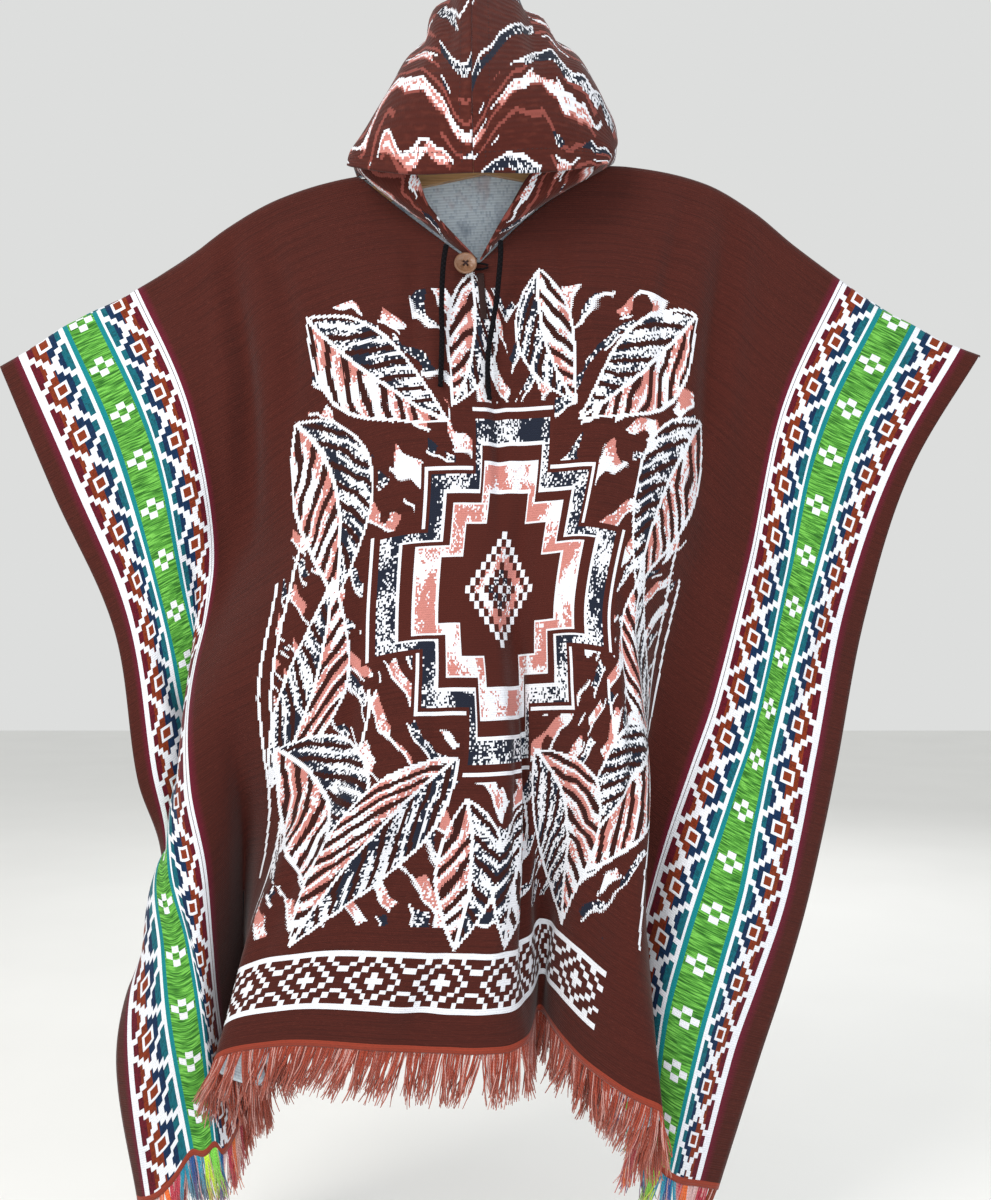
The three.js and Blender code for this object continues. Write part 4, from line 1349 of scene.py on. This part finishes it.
@dataclass
class Hood:
    """The hood: two sides sewn to the neck, and to each other along the crown."""

    along: int = 84
    across: int = 96
    last: float = 0.97
    crown_gap: float = 0.12
    spots: tuple[float, ...] = (0.0, 0.2, 0.38, 0.58, 0.8, 1.0)
    calm_seam: float = 26.0
    calm_crown: float = 14.0
    channel_back: float = 20.0
    channel_rise: float = 0.8
    filled: float = 0.72          # share of its flat rectangle that a side fills
    slender: float = 1.15         # length of that rectangle by its height

    def neck_edge(self, at: float, hand: Hand) -> np.ndarray:
        """A point of the neck's edge.

        Args:
            at: from the front point (0) over the shoulder to the nape (1).
            hand: side of the hood.

        Returns:
            The point where the hood starts, eased inside the opening.
        """
        corner = NECK.left if hand is Hand.LEFT else NECK.right
        front = at <= NECK.shoulder
        share = at / NECK.shoulder if front else (at - NECK.shoulder) / (1 - NECK.shoulder)
        cut = NECK.point + (corner - NECK.point) * (share if front else 1 - share)
        half = Half.FRONT if front else Half.BACK
        down = max(0.15, float(NECK.cut_away(np.array([cut]), half)[0]))
        point = HangingCloth(half).points(np.array([cut]), np.array([[down]]))[0, 0]
        aside = min(1.0, abs(cut - NECK.point) / abs(corner - NECK.point))
        inward = np.array([-hand.value * aside * 0.9, 0.0, 1.15 - 0.55 * aside])
        point[0] += hand.value * 1.3 * (1 - aside)
        point[1] += half.value * (1 - share) * share * 4
        return point + inward / np.linalg.norm(inward) * NECK.ease

    def grid(self, hand: Hand) -> tuple[np.ndarray, np.ndarray]:
        """Middle of one side's cloth, and its places: back from the opening and up from the neck."""
        knots = [arch.at for arch in HOOD_ARCHES]
        at = np.linspace(0.0, self.last, self.along + 1)
        sides = [arch.left if hand is Hand.LEFT else arch.right for arch in HOOD_ARCHES]
        controls = [np.array([self.neck_edge(a, hand) for a in at])]
        for spot in range(4):
            controls.append(smooth(knots, np.array([side[spot] for side in sides]).T, at).T)
        crown = smooth(knots, np.array([arch.crown for arch in HOOD_ARCHES]).T, at).T
        crown[:, 0] += hand.value * self.crown_gap
        controls.append(crown)
        stacked = np.stack(controls, axis=2)
        share = np.linspace(0.0, 1.0, self.across + 1)
        grid = np.stack([smooth(self.spots, stacked[i], share).T for i in range(len(at))])
        up = np.linalg.norm(np.diff(grid, axis=1), axis=2).cumsum(axis=1)
        up = np.concatenate([np.zeros((len(at), 1)), up], axis=1)
        back = np.linalg.norm(np.diff(grid[:, self.across // 2], axis=0), axis=1).cumsum()
        back = np.concatenate([[0.0], back])
        return grid, np.dstack([np.repeat(back[:, None], self.across + 1, axis=1), up])

    def build(self, hand: Hand, face: Finish, reverse: Finish) -> np.ndarray:
        """Returns:
            The grid of its creased cloth, for the stitches.
        """
        name = hand.name.lower()
        side = hand.value
        grid, place = self.grid(hand)
        normals = directions(grid, side)
        normals[:, -1, 0] = 0.0
        normals /= np.linalg.norm(normals, axis=2, keepdims=True)
        back, up = place[..., 0], place[..., 1]
        amount = relief(HOOD_CREASES[hand], back, up) + unevenness(back, up)
        top = up[:, -1:]
        amount *= np.clip(up / self.calm_seam, 0, 1) * np.clip((top - up) / self.calm_crown, 0, 1)
        amount *= np.clip(back / 10.0, 0.2, 1)
        channel = np.exp(-((back - self.channel_back) / 5.0) ** 2) * np.clip(up / 20.0, 0, 1)
        amount += self.channel_rise * channel
        creased = grid + normals * amount[..., None]
        turned = directions(creased, side)
        turned[:, -1] = normals[:, -1]
        weave = np.dstack([side * (top - up), back])
        piece = make_cloth(f"hood_side_{name}", creased, weave, turned, side,
                           [face.material, reverse.material, face.material])
        declare(piece, f"hood_{name}")
        return np.stack([creased, turned])


def stitch_row(name: str, line: np.ndarray, out: np.ndarray, length: float, gap: float,
               radius: float, lift: float, finish: Finish) -> bpy.types.Object:
    """Sews a row of separate stitches along a line.

    Args:
        name: name of the row.
        line: points of the line.
        out: outward directions at those points.
        length: length of a stitch.
        gap: cloth between two stitches.
        radius: radius of the thread.
        lift: how far the middle of a stitch stands off the line.
        finish: the thread.

    Returns:
        The row, riding on the body.
    """
    walk = np.concatenate([[0.0], np.linalg.norm(np.diff(line, axis=0), axis=1).cumsum()])
    starts = np.arange(gap, walk[-1] - length, length + gap)
    share = np.linspace(0.0, 1.0, 5)
    where = starts[:, None] + length * share[None, :]
    paths = np.stack([np.interp(where, walk, line[:, k]) for k in range(3)], axis=2)
    ups = np.stack([np.interp(where, walk, out[:, k]) for k in range(3)], axis=2)
    rise = lift * (0.15 + 0.85 * np.sin(math.pi * share))
    paths = paths + ups * rise[None, :, None]
    radii = np.full(where.shape, radius)
    middle = ups.mean(axis=(0, 1))
    row = make_yarns(name, paths, radii, 5, middle / np.linalg.norm(middle), finish.material)
    declare(row)
    return row


@dataclass
class Placket:
    """Twill tape under the point of the neck, sewn down on both long sides."""

    width: float = 10.0
    length: float = 50.0
    thickness: float = 0.9
    top: float = 134.0
    foot: float = 1.3
    belly: float = 0.35
    columns: int = 9
    rows: int = 40
    sewn: tuple[int, int] = (1, 7)    # the columns that the stitches follow

    def build(self, cloth: HangingCloth, tape: Finish, thread: Finish) -> None:
        """Makes the tape and its stitches."""
        cut = np.linspace(NECK.point - self.width / 2, NECK.point + self.width / 2, self.columns)
        down = np.repeat([np.linspace(self.top, self.top + self.length, self.rows)], self.columns, axis=0)
        grid = cloth.points(cut, down)
        normals = directions(grid, Half.FRONT.value)
        place = np.dstack([np.repeat(cut[:, None], self.rows, axis=1), down])
        belly = np.sin(math.pi * np.linspace(0, 1, self.columns)) * self.belly
        grid = grid + normals * belly[:, None, None]
        tape_piece = make_cloth("placket_tape", grid, place, normals, Half.FRONT.value,
                                [tape.material] * 3, self.thickness, self.foot + self.thickness / 2)
        declare(tape_piece, "neck_placket")
        rows = [stitch_row(f"placket_stitches_{k}", grid[k], normals[k], 2.6, 1.2, 0.3,
                           self.foot + self.thickness + 0.1, thread) for k in self.sewn]


@dataclass
class Fastening:
    """The button, its thread and the loop that goes round its shank."""

    radius: float = 12.0
    thickness: float = 3.6
    dish: float = 1.0
    hole: float = 1.25
    hole_aside: float = 2.9
    yarn: float = 0.4
    yarns_apart: float = 0.84
    cut: float = -42.0
    down: float = 126.0
    lift: float = 7.0
    loop_radius: float = 1.1
    loop_lift: float = 4.2
    loop_half: float = 3.0
    loop_from: float = 9.0
    loop_to: float = -24.0

    def turned(self, name: str, profile: Sequence[tuple[float, float]], middle: np.ndarray,
               axes: Sequence[np.ndarray], sides: int, finish: Finish) -> bpy.types.Object:
        """Turns a closed profile round an axis.

        Args:
            name: name of the piece.
            profile: radius and height of each ring.
            middle: where the profile starts.
            axes: two directions across and the one along the axis.
            sides: faces round it.
            finish: its finish.

        Returns:
            The turned piece.
        """
        angle = 2 * math.pi * np.arange(sides) / sides
        a, b, out = axes
        points, weave = [], []
        for radius, height in profile:
            ring = radius * (np.cos(angle)[:, None] * a + np.sin(angle)[:, None] * b)
            points.append(middle + ring + height * out)
            weave.append(np.stack([np.full(sides, radius), radius * np.cos(angle),
                                   radius * np.sin(angle)], axis=1))
        count = len(profile)
        faces = [[j * sides + k, (j + 1) * sides + k, (j + 1) * sides + (k + 1) % sides,
                  j * sides + (k + 1) % sides] for j in range(count - 1) for k in range(sides)]
        faces.append(list(range(sides)))
        faces.append([(count - 1) * sides + k for k in reversed(range(sides))])
        faces = [face[::-1] for face in faces]
        return make_piece(name, np.concatenate(points), faces, np.concatenate(weave), [finish.material])

    def build(self, cloth: HangingCloth, shell: Finish, thread: Finish, cord: Finish) -> None:
        point, out = cloth.frame_at(self.cut, self.down)
        a = np.cross(out, [0.0, 0.0, 1.0])
        a /= np.linalg.norm(a)
        b = np.cross(out, a)
        middle = point + out * self.lift
        r, t, face = self.radius, self.thickness, self.thickness - self.dish
        profile = [(0.4, 0.0), (r - 3.2, 0.0), (r - 1.6, 0.45), (r - 0.5, 1.2), (r, 2.0),
                   (r - 0.2, t - 0.6), (r - 0.8, t - 0.1), (r - 1.5, t), (r - 2.2, t - 0.1),
                   (r - 2.9, t - 0.55), (r - 3.6, face), (0.4, face)]
        button = self.turned("button_turned", profile, middle, (a, b, out), 64, shell)
        self.drill(button, middle, (a, b, out), shell)
        stitches = self.sew(middle, (a, b, out), face, thread)
        declare(button, "button")
        declare(stitches, "button_thread")
        self.build_loop(cloth, cord)
        LOG.info("button, its thread and its loop")

    def drill(self, button: bpy.types.Object, middle: np.ndarray, axes: Sequence[np.ndarray],
              shell: Finish) -> None:
        """Drills the four holes, which show the shell's own finish."""
        a, b, out = axes
        for k in range(4):
            angle = math.pi / 4 + k * math.pi / 2
            at = middle + self.hole_aside * (math.cos(angle) * a + math.sin(angle) * b)
            bit = self.turned(f"drill_{k}", [(self.hole, -2.0), (self.hole, self.thickness + 2.0)], at,
                              axes, 20, shell)
            cutter = button.modifiers.new(f"hole_{k}", "BOOLEAN")
            cutter.object, cutter.operation, cutter.solver = bit, "DIFFERENCE", "EXACT"
        graph = bpy.context.evaluated_depsgraph_get()
        drilled = bpy.data.meshes.new_from_object(button.evaluated_get(graph))
        bits = [modifier.object for modifier in button.modifiers]
        button.modifiers.clear()
        button.data = drilled
        for bit in bits:
            bpy.data.objects.remove(bit, do_unlink=True)

    def sew(self, middle: np.ndarray, axes: Sequence[np.ndarray], face: float,
            thread: Finish) -> bpy.types.Object:
        """Crossed stitches over the button's face, two yarns each, down through its holes."""
        a, b, out = axes
        share = np.linspace(-1.0, 1.0, 15)
        paths = []
        for k in range(2):
            angle = math.pi / 4 + k * math.pi / 2
            run = math.cos(angle) * a + math.sin(angle) * b
            beside = -math.sin(angle) * a + math.cos(angle) * b
            for shift in (-self.yarns_apart / 2, self.yarns_apart / 2):
                rise = face + 0.45 + 0.4 * k * (1 - share ** 2) + 0.3 - 3.0 * np.maximum(
                    0.0, np.abs(share) - 0.84) / 0.16 * 0.6
                paths.append(middle + np.outer(share * (self.hole_aside + 0.25), run)
                             + beside * shift + np.outer(rise, out))
        radii = np.full((4, len(share)), self.yarn)
        return make_yarns("button_stitches", np.array(paths), radii, 8, out, thread.material)

    def build_loop(self, cloth: HangingCloth, cord: Finish) -> None:
        """A U of thin cord from the right of the neck's point, round the shank and back."""
        point, out = cloth.frame_at(NECK.point, self.down + 1)
        base = point + out * self.loop_lift
        half, start, end = self.loop_half, self.loop_from, self.loop_to
        corners = [(start, half * 0.4), (start - 8, half), (end + 10, half), (end + 3, half * 0.9),
                   (end, 0.0), (end + 3, -half * 0.9), (end + 10, -half), (start - 8, -half),
                   (start, -half * 0.4)]
        path = rounded([(base[0] + x, base[1], base[2] + z) for x, z in corners], 1.2)
        radii = np.full((1, len(path)), self.loop_radius)
        loop = make_yarns("loop_cord", path[None], radii, 12, (0.0, 1.0, 0.0), cord.material,
                          braid=0.16, plait=3.0)
        declare(loop, "button_loop")


def rounded(corners: Sequence[Sequence[float]], step: float) -> np.ndarray:
    """A smooth route through points, with a point every step, in millimetres."""
    p = np.array(corners, float)
    p = np.concatenate([[2 * p[0] - p[1]], p, [2 * p[-1] - p[-2]]])
    route = []
    for i in range(1, len(p) - 2):
        pieces = max(2, round(float(np.linalg.norm(p[i + 1] - p[i])) / step))
        for f in np.arange(pieces) / pieces:
            route.append(0.5 * (2 * p[i] + (p[i + 1] - p[i - 1]) * f
                                + (2 * p[i - 1] - 5 * p[i] + 4 * p[i + 1] - p[i + 2]) * f * f
                                + (3 * p[i] - p[i - 1] - 3 * p[i + 1] + p[i + 2]) * f ** 3))
    route.append(p[-2])
    return np.array(route)


def run_of(path: np.ndarray) -> float:
    """Length of a route, in metres."""
    return float(np.linalg.norm(np.diff(path, axis=0), axis=1).sum()) * MM


@dataclass
class Drawcords:
    """The two free ends of the hood's drawcord."""

    radius: float = 2.9
    left: tuple[tuple[float, float, float], ...] = (
        (-34, -64, -304), (-36, -66, -316), (-37.5, -64, -330), (-38.5, -61, -345), (-39, -60, -360),
        (-39, -60.5, -375), (-38.5, -61.5, -390), (-38.5, -62.5, -405), (-39, -63.5, -420),
        (-39.5, -64.5, -435), (-40, -65.5, -450),
    )
    right: tuple[tuple[float, float, float], ...] = (
        (22, -64, -300), (22, -66, -313), (21, -64, -328), (19.5, -61, -343), (18, -58.5, -358),
        (15.5, -57, -373), (13, -57, -388), (10.5, -58, -403), (9, -59.5, -418), (8.5, -61, -433),
        (9, -62, -448), (10.5, -63, -463),
    )

    def build(self, braid: Finish) -> None:
        """Makes both ends: a braided tube, closed by a short whipping where it was cut."""
        for name, corners in (("left", self.left), ("right", self.right)):
            path = rounded(corners, 1.1)
            walk = np.linspace(0.0, 1.0, len(path))
            whipping = 1.0 - 0.14 * ((walk > 0.955) & (walk < 0.985)) - 0.25 * (walk > 0.997)
            radii = (self.radius * whipping)[None]
            cord = make_yarns(f"cord_{name}", path[None], radii, 18, (0.0, 1.0, 0.0), braid.material,
                              braid=0.14, plait=9.0)
            declare(cord, f"drawcord_{name}")
            LOG.info("drawcord %s: %.0f mm", name, run_of(path) / MM)


class Lamp(NamedTuple):
    """A square soft lamp: its place in millimetres, its side in metres and its power in watts."""

    name: str
    place: tuple[float, float, float]
    side: float
    power: float
    colour: str


@dataclass
class Studio:
    """The camera, the light and the floor."""

    lens: float = 38.9
    eye: tuple[float, float, float] = (16.7, -1400.0, -669.6)
    floor: float = -1415.0
    floor_reach: float = 6000.0
    aim: tuple[float, float, float] = (0.0, 0.0, -650.0)
    room: str = "#F4F5F4"
    room_light: float = 0.8
    lamps: tuple[Lamp, ...] = (
        Lamp("key", (-1500.0, -1900.0, 750.0), 1.3, 46.0, "#FFFBF5"),
        Lamp("fill", (1700.0, -1700.0, -200.0), 1.6, 13.0, "#F3F7FF"),
        Lamp("front", (100.0, -2300.0, -800.0), 1.0, 11.0, "#FFFFFF"),
        Lamp("back", (600.0, 2200.0, 700.0), 1.6, 26.0, "#FFFFFF"),
    )

    def build_camera(self) -> None:
        """Level camera in front of the poncho."""
        camera = bpy.data.cameras.new("camera")
        camera.lens = self.lens
        camera.clip_start = 0.01
        stand = bpy.data.objects.new("camera", camera)
        stand.location = Vector(self.eye) * MM
        stand.rotation_euler = (math.pi / 2, 0.0, 0.0)
        bpy.context.scene.collection.objects.link(stand)
        bpy.context.scene.camera = stand

    def hang(self, lamp: Lamp) -> None:
        """Hangs a lamp that points at the middle of the poncho."""
        light = bpy.data.lights.new(lamp.name, "AREA")
        light.size, light.energy = lamp.side, lamp.power
        light.color = linear(lamp.colour)[:3]
        stand = bpy.data.objects.new(lamp.name, light)
        stand.location = Vector(lamp.place) * MM
        aim = Vector(self.aim) * MM - stand.location
        stand.rotation_euler = aim.to_track_quat("-Z", "Y").to_euler()
        bpy.context.scene.collection.objects.link(stand)

    def build(self, paint: Finish) -> None:
        """Lamps, the pale surroundings and the floor."""
        for lamp in self.lamps:
            self.hang(lamp)
        world = bpy.data.worlds.new("pale room")
        world.use_nodes = True
        background = world.node_tree.nodes["Background"].inputs
        background["Color"].default_value = linear(self.room)
        background["Strength"].default_value = self.room_light
        bpy.context.scene.world = world
        bpy.context.scene.view_settings.view_transform = "Standard"
        reach = self.floor_reach
        corners = np.array([(-reach, -reach, self.floor), (reach, -reach, self.floor),
                            (reach, reach, self.floor), (-reach, reach, self.floor)])
        floor = make_piece("floor", corners, [(0, 1, 2, 3)], corners * 0.0, [paint.material])


@dataclass
class Seams:
    """The visible rows of stitches: round the neck, along the hood's opening, beside its crown."""

    radius: float = 0.34
    gap: float = 1.6
    lift: float = CLOTH / 2 + 0.25
    neck_length: float = 3.0
    neck_inset: float = 5.0
    left_of_point: float = 36.0
    right_of_point: float = 12.0
    hood_length: float = 3.2
    hem_row: int = 5
    crown_row: int = -4

    def sew(self, body: Body, hoods: dict[Hand, np.ndarray], thread: Finish) -> None:
        """Sews all the rows.

        Args:
            body: the front half.
            hoods: the points and outward directions of each side of the hood.
            thread: the thread.
        """
        cut = np.linspace(NECK.left + 2, NECK.right - 2, 160)
        down = np.maximum(0.4, NECK.cut_away(cut, Half.FRONT)) + self.neck_inset
        line, out = body.sheet_points(cut, np.stack([down, down + 4.0], axis=1))
        left = cut < NECK.point - self.left_of_point
        right = cut > NECK.point + self.right_of_point
        for name, part in (("left", left), ("right", right)):
            stitch_row(f"neck_stitches_{name}", line[part, 0], out[part, 0], self.neck_length,
                       self.gap, self.radius, self.lift, thread)
        for hand, sheet in hoods.items():
            hem, crown = sheet[:, self.hem_row, 4:-2], sheet[:, 2:-4, self.crown_row]
            for name, (row, outward) in (("hood_hem", hem), ("crown", crown)):
                stitch_row(f"{name}_stitches_{hand.name.lower()}", row, outward, self.hood_length,
                           self.gap, self.radius, self.lift, thread)


def dress_hanger(solids: dict[str, bpy.types.Object]) -> None:
    """Gives the hanger its beech and its plated wire."""
    for name, finish in (("hanger_bar", Beech()), ("hanger_hook", DrawnSteel())):
        for slot in solids[name].material_slots:
            slot.material = finish.material
    LOG.info("hanger")


def main() -> None:
    """Builds the poncho in order."""
    logging.basicConfig(level=logging.INFO)
    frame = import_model()
    studio = Studio()
    studio.build_camera()
    braid, thread = BraidedCord(), SewingThread()
    Drawcords().build(braid)
    face, reverse, yarn = DoubleWeave(), ReverseWeave(), FringeYarn()
    front = Body(Half.FRONT, columns=250, rows=165)
    front.build(face, reverse, yarn)
    Body(Half.BACK, columns=200, rows=120).build(face, reverse, yarn)
    hood_face = HoodWeave()
    hood = Hood()
    hoods = {hand: hood.build(hand, hood_face, reverse) for hand in Hand}
    Placket().build(front.cloth, PlacketTwill(), thread)
    Fastening().build(front.cloth, CoconutShell(), thread, braid)
    Seams().sew(front, hoods, thread)
    dress_hanger(frame["nodes"])
    studio.build(PalePaint())


if __name__ == "__main__":
    main()
